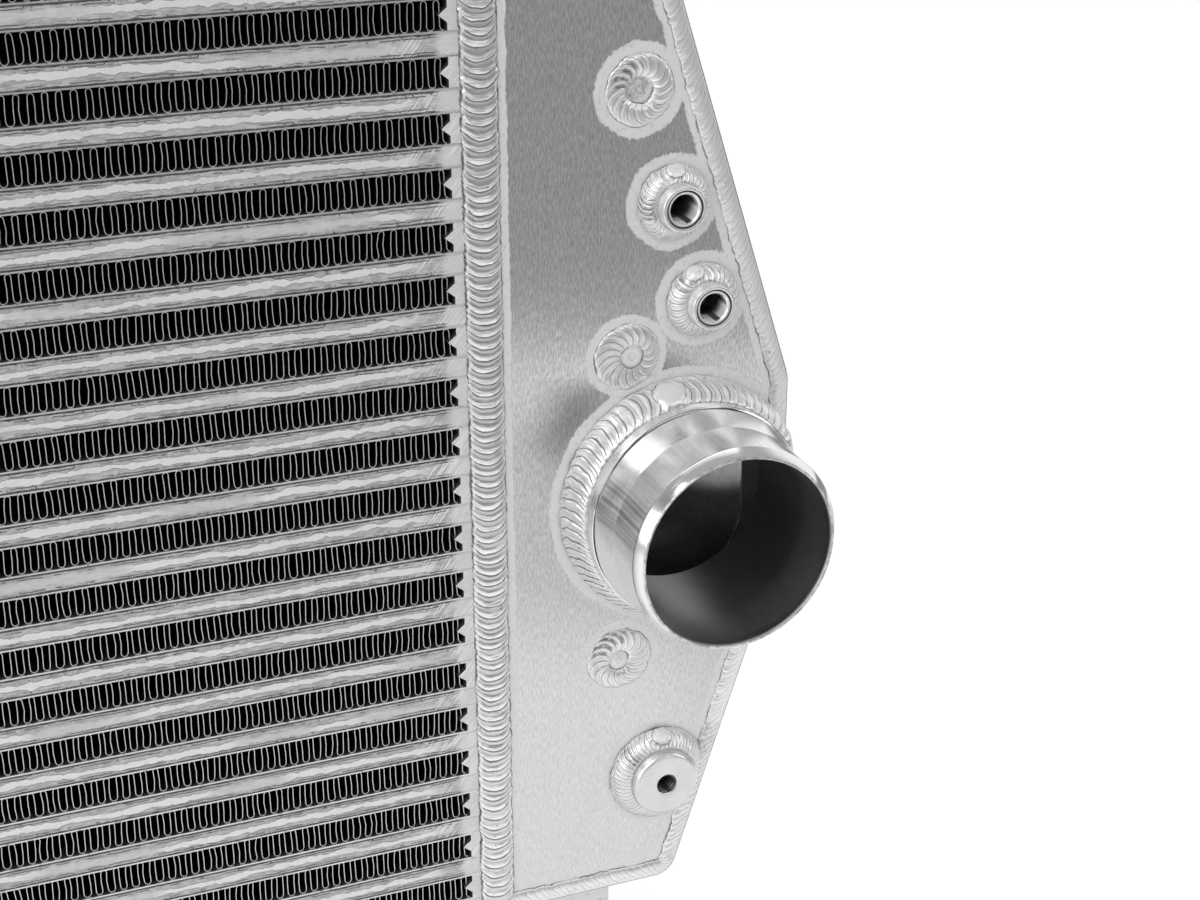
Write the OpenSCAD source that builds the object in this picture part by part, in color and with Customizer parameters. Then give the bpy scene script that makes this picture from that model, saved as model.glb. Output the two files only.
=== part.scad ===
// Bar-and-plate intercooler: a brazed core between two welded end tanks.
// Sizes are millimetres. X runs along the core, +Y goes back through it, Z is up.
// The origin lies on the floor, under the middle of the whole object.

/* [Core] */
// Width of the core, between its two end tanks
core_w = 480; // [380:5:600]
// Depth of the core, front to back
core_d = 89; // [70:1:120]
// Number of rows of cooling fins
fin_rows = 20; // [19:1:26]
// Height of a row of cooling fins
fin_h = 8.7; // [8.2:0.1:10]
// Height of a charge passage, and so of the long bars that close it
bar_h = 6.4; // [6:0.1:8]
// Thickness of a parting plate
plate_t = 0.5; // [0.4:0.1:0.8]
// Thickness of the top and bottom plates
side_plate_t = 1.5; // [1:0.1:3]
// Width of a long bar, front to back
long_bar_w = 8; // [5:0.5:12]
// Width of an end bar, along the core
end_bar_w = 8.8; // [7:0.2:12]
// Reach of the pointed nose on the inner side of a bar
nose_l = 2.6; // [1:0.2:4]
// Height of that nose at its root
nose_h = 4.2; // [2:0.2:5]

/* [Fins] */
// Length of one wave of a cooling fin. The real fin is finer, at 3.7
fin_pitch = 15; // [13:0.2:20]
// Thickness of the cooling fin's sheet
fin_t = 0.4; // [0.2:0.1:0.8]
// How far the fins stand back from the front and rear of the bars
fin_setback = 0.8; // [0.2:0.2:3]
// Length of one wave of an inner fin, in the charge passages
inner_fin_pitch = 12; // [8:0.5:20]
// Thickness of the inner fin's sheet
inner_fin_t = 0.3; // [0.2:0.1:0.6]
// Brazing gap between a fin and the plate above or below it
braze_gap = 0.05; // [0.02:0.01:0.1]

/* [Tanks] */
// Thickness of the tank sheets
sheet_t = 3; // [2:0.5:5]
// Width of a tank at its foot
tank_bottom_w = 63; // [56:1:80]
// Width of a tank at its top
tank_top_w = 53.5; // [46:0.5:70]
// Width of a tank at its widest, beside the neck
tank_mid_w = 101.5; // [94:0.5:120]
// Depth of a tank at its outer edge, where the rear sheet has sloped forward
tank_edge_d = 27; // [24:1:40]
// Distance from the neck's axis down to the lower knee of the outline
knee_down = 25.5; // [15:0.5:35]
// Distance from the neck's axis up to the upper knee of the outline
knee_up = 35.7; // [25:0.1:45]
// Radius of the bends at the tank's top and bottom corners
corner_r = 8; // [7.5:0.5:12]
// Radius of the bends at the two knees
knee_r = 16; // [10:1:30]
// How far the front and rear sheets stand in from the tank's outer faces
sheet_inset = 1.5; // [1:0.1:1.9]

/* [Necks] */
// Height of a neck's axis above the underside of the core
neck_z = 144; // [135:1:155]
// Distance from a neck's root ring in to the tank's outer edge
neck_edge = 1.7; // [0.5:0.1:6]
// Radius of the straight band that the hose sits on
band_r = 33.6; // [28:0.1:36]
// Thickness of the neck's wall at that band
neck_wall = 3.2; // [2.8:0.1:5]
// Thickness of the spigot's wall, in the hole of the front sheet
spigot_wall = 2.6; // [2:0.1:4]
// Step from the band out to the thick ring at the root
ring_step = 2.4; // [1.5:0.1:4]
// Height of that ring above the sheet
ring_l = 16.1; // [12:0.1:20]
// Depth of the groove in front of the ring
groove_depth = 1.4; // [0.5:0.1:2]
// Width of the groove
groove_w = 0.8; // [0.4:0.1:1.5]
// Length of the taper from the groove to the band
taper_l = 10.7; // [6:0.1:16]
// Length of the band
band_l = 15.2; // [12:0.1:25]
// Length of the bevel at the mouth
bevel_l = 3.7; // [2:0.1:6]
// Drop of that bevel towards the bore
bevel_drop = 2.2; // [1:0.1:2.3]

/* [Ports and boss] */
// Radius of a port's tapped hole, for a 1/8 inch pipe thread
port_bore_r = 4.3; // [4:0.05:5]
// Thickness of a port's wall
port_wall = 2.85; // [2.5:0.05:4]
// Height of a port's collar above the sheet
port_l = 9.5; // [8:0.5:14]
// Width of the countersink at the port's mouth
port_sink = 1.6; // [0.5:0.1:1.9]
// Clear space between the edge weld and the welds of the ports
port_edge = 1.2; // [0.5:0.1:5]
// Clear space between the neck's weld and the lower port's weld
port_gap = 12.1; // [10:0.1:14]
// Rise from the lower port to the upper port
port_rise = 32.2; // [28:0.1:34]
// Rise from the upper port to the top stay
stay_rise = 35; // [30:0.5:36]
// Radius of the mounting boss
boss_r = 11.4; // [10:0.1:12]
// Height of the boss above the sheet
boss_l = 9.3; // [8:0.1:12]
// Radius of the boss's tapped hole, for an M8 screw
boss_bore_r = 3.4; // [3:0.1:4]
// Depth of that hole
boss_bore_l = 15; // [10:0.5:17]
// Height of the boss above the underside of the core
boss_z = 42.5; // [36:0.5:46]
// Distance from the boss's weld in to the edge of the tank
boss_edge = 1.3; // [0.5:0.1:8]
// How far the ports reach inside the sheet
port_inside = 2; // [1:0.5:4]
// How far the boss reaches inside the sheet
boss_inside = 8; // [7:0.5:10]

/* [Stays] */
// Radius of a stay, the rod that ties the tank's front and rear sheets
stay_r = 6; // [4:0.5:8]
// Radius of the hole that a stay's plug weld fills
plug_hole_r = 9; // [8.2:0.2:9.8]
// Lap of a plug weld over the edge of its hole
plug_lap = 2.2; // [1:0.1:3]
// Angle about the neck at which the two nearer stays stand, from straight out
stay_angle = 110; // [105:1:115]
// Clear space between the neck's weld and the middle stay's weld
mid_stay_gap = 1; // [0.5:0.1:4]
// Clear space between the neck's weld and the lowest stay's weld
low_stay_gap = 7.1; // [4:0.1:9]

/* [Welds] */
// Width of the bead that joins a tank to the core
core_weld_w = 11.6; // [9:0.2:13]
// Height of that bead
core_weld_h = 2.2; // [1:0.1:3]
// Spacing of the ripples along that bead
ripple_pitch = 3.75; // [3:0.25:6]
// Share of the bead's height that a ripple's valley keeps
ripple_valley = 0.78; // [0.6:0.02:1]
// Width of the bead along the edge of a tank's front and rear sheets
edge_weld_w = 7; // [5:0.5:7.2]
// Height of that bead above the sheet
edge_weld_h = 1.2; // [0.6:0.1:1.6]
// How far that bead stands out of the tank's side
edge_weld_out = 0.6; // [0.3:0.1:1]
// Lap of that bead down the tank's side, past the sheet
edge_weld_lap = 2; // [1:0.1:3]
// Width of the fillet weld round a neck
neck_weld_w = 4.7; // [3:0.1:4.9]
// Height of that weld up the neck's ring
neck_weld_h = 8; // [5:0.5:10]
// Width of the fillet weld round a port
port_weld_w = 5.2; // [3:0.1:5.4]
// Height of that weld up the port's collar
port_weld_h = 5.4; // [3:0.1:6.5]
// Width of the fillet weld round the boss
boss_weld_w = 5.8; // [4:0.1:6.4]
// Height of that weld up the boss
boss_weld_h = 6.4; // [4:0.1:7]
// Size of the fillet welds on the feet
foot_weld = 3; // [2:0.5:5]

/* [Feet] */
// Height of a foot, from the floor to the underside of the core
foot_h = 26; // [20:1:50]
// Width of a foot, along the core
foot_w = 35; // [25:1:38]
// Distance from the core's end to the foot
foot_x = 8.6; // [8:0.2:12]
// Clear space between the edge weld and the foot's front weld
foot_gap = 0.4; // [0.2:0.1:8]
// Depth of the foot on the floor
foot_d = 64; // [50:1:66]
// Thickness of the foot's plate
foot_t = 5; // [4:0.5:6]
// Inner radius of the bend in the foot
foot_bend_r = 4; // [2:0.5:6]

/* [Hidden] */
$fn = 96;
// Radial clearance of the fittings in the holes of the sheet
hole_gap = 0.1;
// Straight pieces in each bend of a tank's outline
bend_steps = 4;
// Straight pieces in the crown of a fillet weld
crown_steps = 5;
// Chamfer on the rims of the turned pieces
chamfer = 0.5;
// Length by which a cutting shape runs past what it cuts
over = 1;

row_pitch = fin_h + bar_h + 2 * plate_t;
core_h = fin_rows * row_pitch + bar_h + 2 * side_plate_t;
core_x = core_w / 2;

// Heights along a neck, from the sheet to the mouth
groove_to = ring_l + groove_w;
band_from = groove_to + taper_l;
band_to = band_from + band_l;
neck_l = band_to + bevel_l;
bore_r = band_r - neck_wall;
spigot_r = bore_r + spigot_wall;
ring_r = band_r + ring_step;

front_y = -(core_d + core_weld_h - neck_l) / 2;

// The rear sheet is flat behind the core weld and slopes forward from there
flat_w = core_weld_w / 2 - 0.8;
slope = (core_d - tank_edge_d) / (tank_mid_w - flat_w);
slope_angle = atan(slope);
slope_stretch = sqrt(1 + slope * slope);

port_r = port_bore_r + port_wall;
plug_weld_r = plug_hole_r + plug_lap;

// Radii of the round welds where they end on the sheet
neck_toe_r = ring_r + neck_weld_w;
port_toe_r = port_r + port_weld_w;
boss_toe_r = boss_r + boss_weld_w;

neck_x = tank_mid_w - neck_edge - ring_r;
foot_y = sheet_t + edge_weld_lap + foot_gap + foot_weld;

// Corners of the tank's outline, as distance from the core and height
ends = [
    [0, 0],
    [tank_bottom_w, 0],
    [tank_mid_w, neck_z - knee_down],
    [tank_mid_w, neck_z + knee_up],
    [tank_top_w, core_h],
    [0, core_h]
];
bend_r = [0, corner_r, knee_r, knee_r, corner_r, 0];

// Name of one row of cooling fins, counted from the bottom
function fin_name(k) = str("cooling_fin_", k < 10 ? "0" : "", k);

// Heights of the underside of a charge passage and of a row of cooling fins
function bar_z(k) = foot_h + side_plate_t + k * row_pitch;
function fin_z(k) = bar_z(k) + bar_h + plate_t;

// Outward normal, as an angle, of the edge of the outline that starts at corner i
function edge_angle(i) = let (v = ends[i + 1] - ends[i]) atan2(-v.x, v.y);
function facing(a) = [cos(a), sin(a)];
function bend_centre(i) =
    let (n = facing(edge_angle(i - 1)), m = facing(edge_angle(i)))
    ends[i] - (n + m) * bend_r[i] / (1 + n * m);

// Stations along the outline's bends, each a point and the normal's angle there
bend_stations = [
    for (i = [1 : 4], j = [0 : bend_steps])
        let (a = edge_angle(i - 1) + (edge_angle(i) - edge_angle(i - 1)) * j / bend_steps)
        [bend_centre(i) + bend_r[i] * facing(a), a]
];

// The outline moved outwards by d, or inwards where d is negative
function tank_outline(d) = concat(
    [[0, -d]],
    [for (s = bend_stations) s[0] + d * facing(s[1])],
    [[0, core_h + d]]
);

// Distance from the core to the outline's edge at height z, on its straight stretches
function edge_x(z) =
    let (low = ends[2], high = ends[3], top = ends[4], foot = ends[1])
    z < low.y ? foot.x + (low.x - foot.x) * z / low.y
    : z < high.y ? low.x
    : high.x + (top.x - high.x) * (z - high.y) / (top.y - high.y);

// Depth at which a surface lies that is t inside the rear face, at distance x from the core
function rear_y(x, t) = min(core_d - t, core_d - (x - flat_w) * slope - t * slope_stretch);
function rear_bend_x(t) = flat_w - t * (slope_stretch - 1) / slope;

// Point at height z that lies d inside the outline's nearest sloped edge
function inside_edge(z, d) =
    [edge_x(z) - d / cos(edge_angle(z < ends[2].y ? 1 : 3)), z];

// Places on the front sheet
neck_at = [neck_x, neck_z];
port_line = edge_weld_w + port_edge + port_toe_r;
lower_port_z = neck_z + neck_toe_r + port_gap + port_toe_r;
lower_port_at = inside_edge(lower_port_z, port_line);
upper_port_at = inside_edge(lower_port_z + port_rise, port_line);
boss_at = inside_edge(boss_z, boss_edge + boss_toe_r);
stays = [
    inside_edge(lower_port_z + port_rise + stay_rise, port_line),
    neck_at + (neck_toe_r + plug_weld_r + mid_stay_gap) * facing(stay_angle),
    neck_at + (neck_toe_r + plug_weld_r + low_stay_gap) * facing(-stay_angle)
];

// An upright outline with depth from y to y + t
module upright(y, t) translate([0, y + t, 0]) rotate([90, 0, 0]) linear_extrude(t) children();

// Places a tank's parts, which are drawn from the core's lower front corner
module right_tank() translate([core_x, front_y, foot_h]) children();
module left_tank() mirror([1, 0, 0]) right_tank() children();

// Stands a turned shape on the front sheet, or on the rear sheet, with its axis pointing out
module on_front(at) translate([at.x, 0, at.y]) rotate([90, 0, 0]) children();
module on_rear(at)
    translate([at.x, rear_y(at.x, 0), at.y]) rotate([-90, 0, -slope_angle]) children();

module turned(profile) rotate_extrude() polygon(profile);

// Joins rings of points into one closed skin. A loop has no ends, and other skins are capped
module skin(rings, loop = false) {
    n = len(rings[0]);
    m = len(rings);
    last = loop ? m - 1 : m - 2;
    sides = [for (i = [0 : last], j = [0 : n - 1])
        [i * n + j, i * n + (j + 1) % n, (i + 1) % m * n + (j + 1) % n, (i + 1) % m * n + j]];
    caps = loop ? [] : [[for (j = [n - 1 : -1 : 0]) j], [for (j = [0 : n - 1]) (m - 1) * n + j]];
    polyhedron([for (r = rings) each r], concat(sides, caps), convexity = 10);
}

// A corrugated sheet seen from its end: straight legs between crests
module waves(length, height, pitch, t) {
    count = max(1, floor(length / pitch));
    leg = length / count / 2;
    rise_t = t * sqrt(leg * leg + height * height) / leg;
    chain = [for (i = [0 : 2 * count]) [i * leg - length / 2, i % 2 == 0 ? 0 : height - rise_t]];
    back = [for (i = [2 * count : -1 : 0]) chain[i] + [0, rise_t]];
    polygon(concat(chain, back));
}

// Section of a bar, with its outer face at x = 0 and a pointed nose inwards
module bar_section(w, h)
    polygon([[0, 0], [w, 0], [w, (h - nose_h) / 2], [w + nose_l, h / 2],
             [w, (h + nose_h) / 2], [w, h], [0, h]]);

module core_plate(z, t) translate([-core_x, front_y, z]) cube([core_w, core_d, t]);

module bottom_plate() color("silver") core_plate(foot_h, side_plate_t);

module top_plate() color("silver") core_plate(foot_h + core_h - side_plate_t, side_plate_t);

module parting_plates() color("gainsboro")
    for (k = [0 : fin_rows - 1]) {
        core_plate(fin_z(k) - plate_t, plate_t);
        core_plate(fin_z(k) + fin_h, plate_t);
    }

// One long bar, drawn along X with its outer face at y = 0
module long_bar() translate([-core_x, 0, 0])
    rotate([90, 0, 90]) linear_extrude(core_w) bar_section(long_bar_w, bar_h);

module front_bars() color("lightgray")
    for (k = [0 : fin_rows]) translate([0, front_y, bar_z(k)]) long_bar();

module rear_bars() color("lightgray")
    for (k = [0 : fin_rows])
        translate([0, front_y + core_d, bar_z(k)]) mirror([0, 1, 0]) long_bar();

module left_end_bars() color("lightgray")
    for (k = [0 : fin_rows - 1])
        translate([-core_x, front_y, fin_z(k)]) upright(0, core_d) bar_section(end_bar_w, fin_h);

module right_end_bars() mirror([1, 0, 0]) left_end_bars();

module cooling_fin(k) color("dimgray")
    translate([0, front_y, fin_z(k - 1) + braze_gap])
        upright(fin_setback, core_d - 2 * fin_setback)
            waves(core_w - 2 * (end_bar_w + nose_l + braze_gap), fin_h - 2 * braze_gap,
                  fin_pitch, fin_t);

module inner_fins() color("gray") {
    width = core_d - 2 * (long_bar_w + nose_l + braze_gap);
    for (k = [0 : fin_rows])
        translate([-core_x, front_y + core_d / 2, bar_z(k) + braze_gap])
            rotate([90, 0, 90]) linear_extrude(core_w)
                waves(width, bar_h - 2 * braze_gap, inner_fin_pitch, inner_fin_t);
}

// The space that lies between the front plane and a surface t inside the rear face
module behind(t) {
    far = tank_mid_w + edge_weld_out + over;
    translate([0, 0, -over]) linear_extrude(core_h + 2 * over)
        polygon([[0, 0], [far, 0], [far, rear_y(far, t)],
                 [rear_bend_x(t), core_d - t], [0, core_d - t]]);
}

module plain_front_sheet() difference() {
    upright(0, sheet_t) polygon(tank_outline(-sheet_inset));
    on_front(neck_at) translate([0, 0, -sheet_t - over])
        cylinder(r = spigot_r + hole_gap, h = sheet_t + 2 * over);
}

module sheet_hole(at, r) on_front(at) translate([0, 0, -sheet_t - over])
    cylinder(r = r, h = sheet_t + 2 * over);

module right_front_sheet() color("silver") right_tank() difference() {
    plain_front_sheet();
    sheet_hole(upper_port_at, port_r + hole_gap);
    sheet_hole(lower_port_at, port_r + hole_gap);
    sheet_hole(boss_at, boss_r + hole_gap);
    for (at = stays) sheet_hole(at, plug_hole_r);
}

module left_front_sheet() color("silver") left_tank() plain_front_sheet();

module plain_rear_sheet() intersection() {
    upright(sheet_t, core_d) polygon(tank_outline(-sheet_inset));
    difference() {
        behind(0);
        behind(sheet_t);
    }
}

module right_rear_sheet() color("silver") right_tank() difference() {
    plain_rear_sheet();
    for (at = stays) on_rear(at) translate([0, 0, -sheet_t - over])
        cylinder(r = plug_hole_r, h = sheet_t + 2 * over);
}

module left_rear_sheet() color("silver") left_tank() plain_rear_sheet();

module wrap() intersection() {
    upright(sheet_t, core_d) difference() {
        polygon(tank_outline(0));
        polygon(tank_outline(-sheet_t));
    }
    behind(sheet_t);
}

module right_wrap() color("silver") right_tank() wrap();

module left_wrap() color("silver") left_tank() wrap();

// Turned neck: spigot, thick ring, groove, taper, straight band and a bevelled mouth
module neck() on_front(neck_at) turned([
    [bore_r, -sheet_t - over],
    [spigot_r, -sheet_t - over],
    [spigot_r, 0],
    [ring_r, 0],
    [ring_r, ring_l],
    [ring_r - groove_depth, ring_l],
    [ring_r - groove_depth, groove_to],
    [ring_r - chamfer, groove_to],
    [band_r, band_from],
    [band_r, band_to],
    [band_r - bevel_drop, neck_l],
    [bore_r + chamfer, neck_l],
    [bore_r, neck_l - chamfer]
]);

module right_neck() color("whitesmoke") right_tank() neck();

module left_neck() color("whitesmoke") left_tank() neck();

module port(at) color("whitesmoke") right_tank() on_front(at) turned([
    [port_bore_r, -sheet_t - port_inside],
    [port_r, -sheet_t - port_inside],
    [port_r, port_l - chamfer],
    [port_r - chamfer, port_l],
    [port_bore_r + port_sink, port_l],
    [port_bore_r, port_l - port_sink]
]);

module upper_port() port(upper_port_at);

module lower_port() port(lower_port_at);

module mounting_boss() color("whitesmoke") right_tank() on_front(boss_at) turned([
    [0, -sheet_t - boss_inside],
    [boss_r, -sheet_t - boss_inside],
    [boss_r, boss_l - 2 * chamfer],
    [boss_r - 2 * chamfer, boss_l],
    [boss_bore_r + chamfer, boss_l],
    [boss_bore_r, boss_l - chamfer],
    [boss_bore_r, boss_l - boss_bore_l],
    [0, boss_l - boss_bore_l]
]);

// A stay runs from the back of the front sheet to the front of the rear sheet
module stay(i) color("lightgray") right_tank() intersection() {
    translate([stays[i].x, sheet_t, stays[i].y]) rotate([-90, 0, 0])
        cylinder(r = stay_r, h = core_d);
    behind(sheet_t);
}

module top_stay() stay(0);

module middle_stay() stay(1);

module bottom_stay() stay(2);

// A plug weld fills its hole and laps over it, round a small crater with a nub
plug_weld = [
    [0, -sheet_t],
    [plug_hole_r, -sheet_t],
    [plug_hole_r, 0],
    [plug_weld_r, 0],
    [plug_weld_r * 0.94, 0.6],
    [plug_weld_r * 0.74, 1.1],
    [plug_weld_r * 0.54, 0.9],
    [plug_weld_r * 0.4, 0.1],
    [plug_weld_r * 0.28, -0.3],
    [plug_weld_r * 0.2, 0.4],
    [0, 0.6]
];

module front_plug_welds() color("gainsboro") right_tank()
    for (at = stays) on_front(at) turned(plug_weld);

module rear_plug_welds() color("gainsboro") right_tank()
    for (at = stays) on_rear(at) turned(plug_weld);

// A fillet weld round a fitting of radius r, with a full crown
module round_fillet(at, r, w, h) on_front(at) turned(concat([[r, 0]],
    [for (i = [0 : crown_steps]) [r, 0] + [w * cos(90 * i / crown_steps),
                                          h * sin(90 * i / crown_steps)]]));

// The neck's weld is cut off at the tank's edge, where the edge weld takes over
module neck_weld() intersection() {
    round_fillet(neck_at, ring_r, neck_weld_w, neck_weld_h);
    upright(-neck_l, neck_l) polygon(tank_outline(0));
}

module right_neck_weld() color("gainsboro") right_tank() neck_weld();

module left_neck_weld() color("gainsboro") left_tank() neck_weld();

module upper_port_weld() color("gainsboro") right_tank()
    round_fillet(upper_port_at, port_r, port_weld_w, port_weld_h);

module lower_port_weld() color("gainsboro") right_tank()
    round_fillet(lower_port_at, port_r, port_weld_w, port_weld_h);

module boss_weld() color("gainsboro") right_tank()
    round_fillet(boss_at, boss_r, boss_weld_w, boss_weld_h);

// Section of the edge weld: distance out of the outline, and depth under the sheet's face.
// It fills the step between a sheet and the wrap, laps over both and rounds the corner
edge_section = [
    [-edge_weld_w, 0],
    [-edge_weld_w * 0.77, -edge_weld_h * 0.7],
    [-edge_weld_w * 0.5, -edge_weld_h],
    [-edge_weld_w * 0.23, -edge_weld_h * 0.75],
    [0, 0.2],
    [edge_weld_out, sheet_t * 0.55],
    [edge_weld_out, sheet_t + edge_weld_lap * 0.2],
    [0, sheet_t + edge_weld_lap],
    [0, sheet_t],
    [-sheet_inset, sheet_t],
    [-sheet_inset, 0]
];

// It runs from the core weld round the outline and back to the core weld
edge_stations = concat(
    [[[core_weld_w / 2, 0], -90]],
    bend_stations,
    [[[core_weld_w / 2, core_h], 90]]
);

module edge_weld(rear) {
    rings = [for (s = edge_stations)
        [for (q = edge_section)
            let (p = s[0] + q[0] * facing(s[1])) [p.x, rear ? rear_y(p.x, q[1]) : q[1], p.y]]];
    skin(rear ? rings : [for (r = rings) [for (i = [len(r) - 1 : -1 : 0]) r[i]]]);
}

// In front it stops at the welds of the neck and the boss, which run over the edge there
module front_edge_weld(with_boss) difference() {
    edge_weld(false);
    on_front(neck_at) translate([0, 0, -sheet_t])
        cylinder(r = neck_toe_r, h = neck_l);
    if (with_boss)
        on_front(boss_at) cylinder(r = boss_toe_r, h = boss_l);
}

module right_front_edge_weld() color("gainsboro") right_tank() front_edge_weld(true);

module left_front_edge_weld() color("gainsboro") left_tank() front_edge_weld(false);

module right_rear_edge_weld() color("gainsboro") right_tank() edge_weld(true);

module left_rear_edge_weld() color("gainsboro") left_tank() edge_weld(true);

// The core weld runs all round the joint between core and tank
bead_section = [for (a = [0 : 36 : 180])
    [-cos(a) * core_weld_w / 2, sin(a) * core_weld_h / sin(72)]];

// Each station is a point on the core's edge and the way in which the bead stands out there.
// Ripples are the front run's alternate stations, at which the bead stands out less
module core_weld(ripples) {
    stations = concat(
        [[[0, 0], [-1, -1]]],
        [for (i = [1 : 2 * ripples - 1])
            [[0, core_h * i / ripples / 2], [i % 2 == 0 ? -ripple_valley : -1, 0]]],
        [[[0, core_h], [-1, 1]], [[core_d, core_h], [1, 1]], [[core_d, 0], [1, -1]]]
    );
    skin([for (s = stations)
        [for (q = bead_section) [q[0], s[0].x + q[1] * s[1].x, s[0].y + q[1] * s[1].y]]],
        loop = true);
}

module right_core_weld() color("gainsboro") right_tank()
    core_weld(floor(core_h / ripple_pitch));

module left_core_weld() color("gainsboro") left_tank() core_weld(1);

// A foot is one bent plate: an upright web under the tank and a sole that runs back
module foot() {
    outer_r = foot_bend_r + foot_t;
    translate([foot_x, foot_y, 0]) rotate([90, 0, 90]) linear_extrude(foot_w)
        difference() {
            union() {
                translate([outer_r, -foot_h]) square([foot_d - outer_r, foot_t]);
                translate([0, outer_r - foot_h]) square([foot_t, foot_h - outer_r]);
                translate([outer_r, outer_r - foot_h]) intersection() {
                    circle(r = outer_r);
                    translate([-outer_r, -outer_r]) square(outer_r);
                }
            }
            translate([outer_r, outer_r - foot_h]) circle(r = foot_bend_r);
        }
}

module foot_welds()
    for (rear = [0, 1])
        translate([foot_x, foot_y + rear * foot_t, 0]) mirror([0, 1 - rear, 0])
            rotate([90, 0, 90]) linear_extrude(foot_w)
                polygon([[0, 0], [0, -foot_weld], [foot_weld * 0.7, -foot_weld * 0.6],
                         [foot_weld, 0]]);

module right_foot() color("silver") right_tank() foot();

module left_foot() color("silver") left_tank() foot();

module right_foot_welds() color("gainsboro") right_tank() foot_welds();

module left_foot_welds() color("gainsboro") left_tank() foot_welds();

bottom_plate();
top_plate();
parting_plates();
front_bars();
rear_bars();
left_end_bars();
right_end_bars();
inner_fins();
for (k = [1 : fin_rows])
    cooling_fin(k);
right_front_sheet();
right_rear_sheet();
right_wrap();
right_neck();
upper_port();
lower_port();
mounting_boss();
top_stay();
middle_stay();
bottom_stay();
front_plug_welds();
rear_plug_welds();
right_neck_weld();
upper_port_weld();
lower_port_weld();
boss_weld();
right_front_edge_weld();
right_rear_edge_weld();
right_core_weld();
right_foot();
right_foot_welds();
left_front_sheet();
left_rear_sheet();
left_wrap();
left_neck();
left_neck_weld();
left_front_edge_weld();
left_rear_edge_weld();
left_core_weld();
left_foot();
left_foot_welds();
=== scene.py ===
import math

import bmesh
import bpy
from mathutils import Matrix, Vector
from mathutils.noise import noise as flutter


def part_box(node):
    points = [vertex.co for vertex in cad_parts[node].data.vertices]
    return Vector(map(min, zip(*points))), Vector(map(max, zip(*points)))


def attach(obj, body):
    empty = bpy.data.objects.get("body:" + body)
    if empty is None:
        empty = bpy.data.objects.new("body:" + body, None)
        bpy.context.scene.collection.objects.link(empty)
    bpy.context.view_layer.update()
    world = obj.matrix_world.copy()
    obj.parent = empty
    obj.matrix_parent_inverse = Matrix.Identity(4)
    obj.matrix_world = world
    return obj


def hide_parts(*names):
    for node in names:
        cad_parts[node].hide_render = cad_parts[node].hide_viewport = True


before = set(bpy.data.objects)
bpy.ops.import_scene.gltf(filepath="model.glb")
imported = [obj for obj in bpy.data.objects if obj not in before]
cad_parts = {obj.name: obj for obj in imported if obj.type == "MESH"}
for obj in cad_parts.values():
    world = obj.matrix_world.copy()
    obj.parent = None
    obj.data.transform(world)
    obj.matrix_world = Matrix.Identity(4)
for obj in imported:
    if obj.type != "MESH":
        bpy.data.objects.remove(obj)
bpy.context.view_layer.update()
mm = 0.001                                       # every size below is in millimetres

# Planes of the part that the pieces are built on
topLow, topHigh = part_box("top_plate")
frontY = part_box("right_front_sheet")[0].y / mm
coreEnd = topHigh.x / mm
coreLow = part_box("bottom_plate")[0].z / mm
coreHeight = topHigh.z / mm - coreLow
coreDepth = (topHigh.y - topLow.y) / mm
core = {"rowPitch": 16.1, "barHeight": 6.4, "plate": 1.5}

# The tank's outline, as in the part: corners as distance from the core and height
tank = {
    "corners": [(0, 0), (63, 0), (101.5, 118.5), (101.5, 179.7), (53.5, 331.4), (0, 331.4)],
    "bends": [0, 8, 16, 16, 8, 0],
    "sheet": 3.0,
    "edgeDepth": 27.0,
    "flat": 5.0,
    "beadStart": 4.6,
}
tankWide = tank["corners"][2][0]
slope = (coreDepth - tank["edgeDepth"]) / (tankWide - tank["flat"])
slopeLength = math.hypot(1, slope)
sides = {"right": 1, "left": -1}


def middle(node):
    low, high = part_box(node)
    return (low + high) / 2 / mm


def smoothStep(a, b, value):
    t = min(1.0, max(0.0, (value - a) / (b - a)))
    return t * t * (3 - 2 * t)


def arc(x, y, radius, start, turn, count):       # points from an angle through a turn
    angles = [math.radians(start + turn * k / count) for k in range(count + 1)]
    return [(x + radius * math.cos(a), y + radius * math.sin(a)) for a in angles]


def camel(node):                                 # a piece has the name of what it stands for
    first, *rest = node.split("_")
    return first + "".join(word.title() for word in rest)


def newObject(name, data):
    made = bpy.data.objects.new(name, data)
    bpy.context.scene.collection.objects.link(made)
    return made


# Camera, at the place from which the photograph was taken
camera = {
    "place": (58.5, -570.8, 445.7),
    "right": (0.929096, -0.369839, 0.000210),
    "up": (0.146923, 0.369614, 0.917496),
    "back": (-0.339400, -0.852410, 0.397750),
    "lens": 62.0,
    "sensor": 36,
}


def makeCamera():
    data = bpy.data.cameras.new("camera")
    data.sensor_width = camera["sensor"]
    data.lens = camera["lens"]
    data.clip_start = 0.01
    data.clip_end = 50
    eye = newObject("camera", data)
    turn = Matrix((camera["right"], camera["up"], camera["back"])).transposed()
    eye.matrix_world = Matrix.Translation(Vector(camera["place"]) * mm) @ turn.to_4x4()
    bpy.context.scene.camera = eye


makeCamera()
print("camera made")


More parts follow.
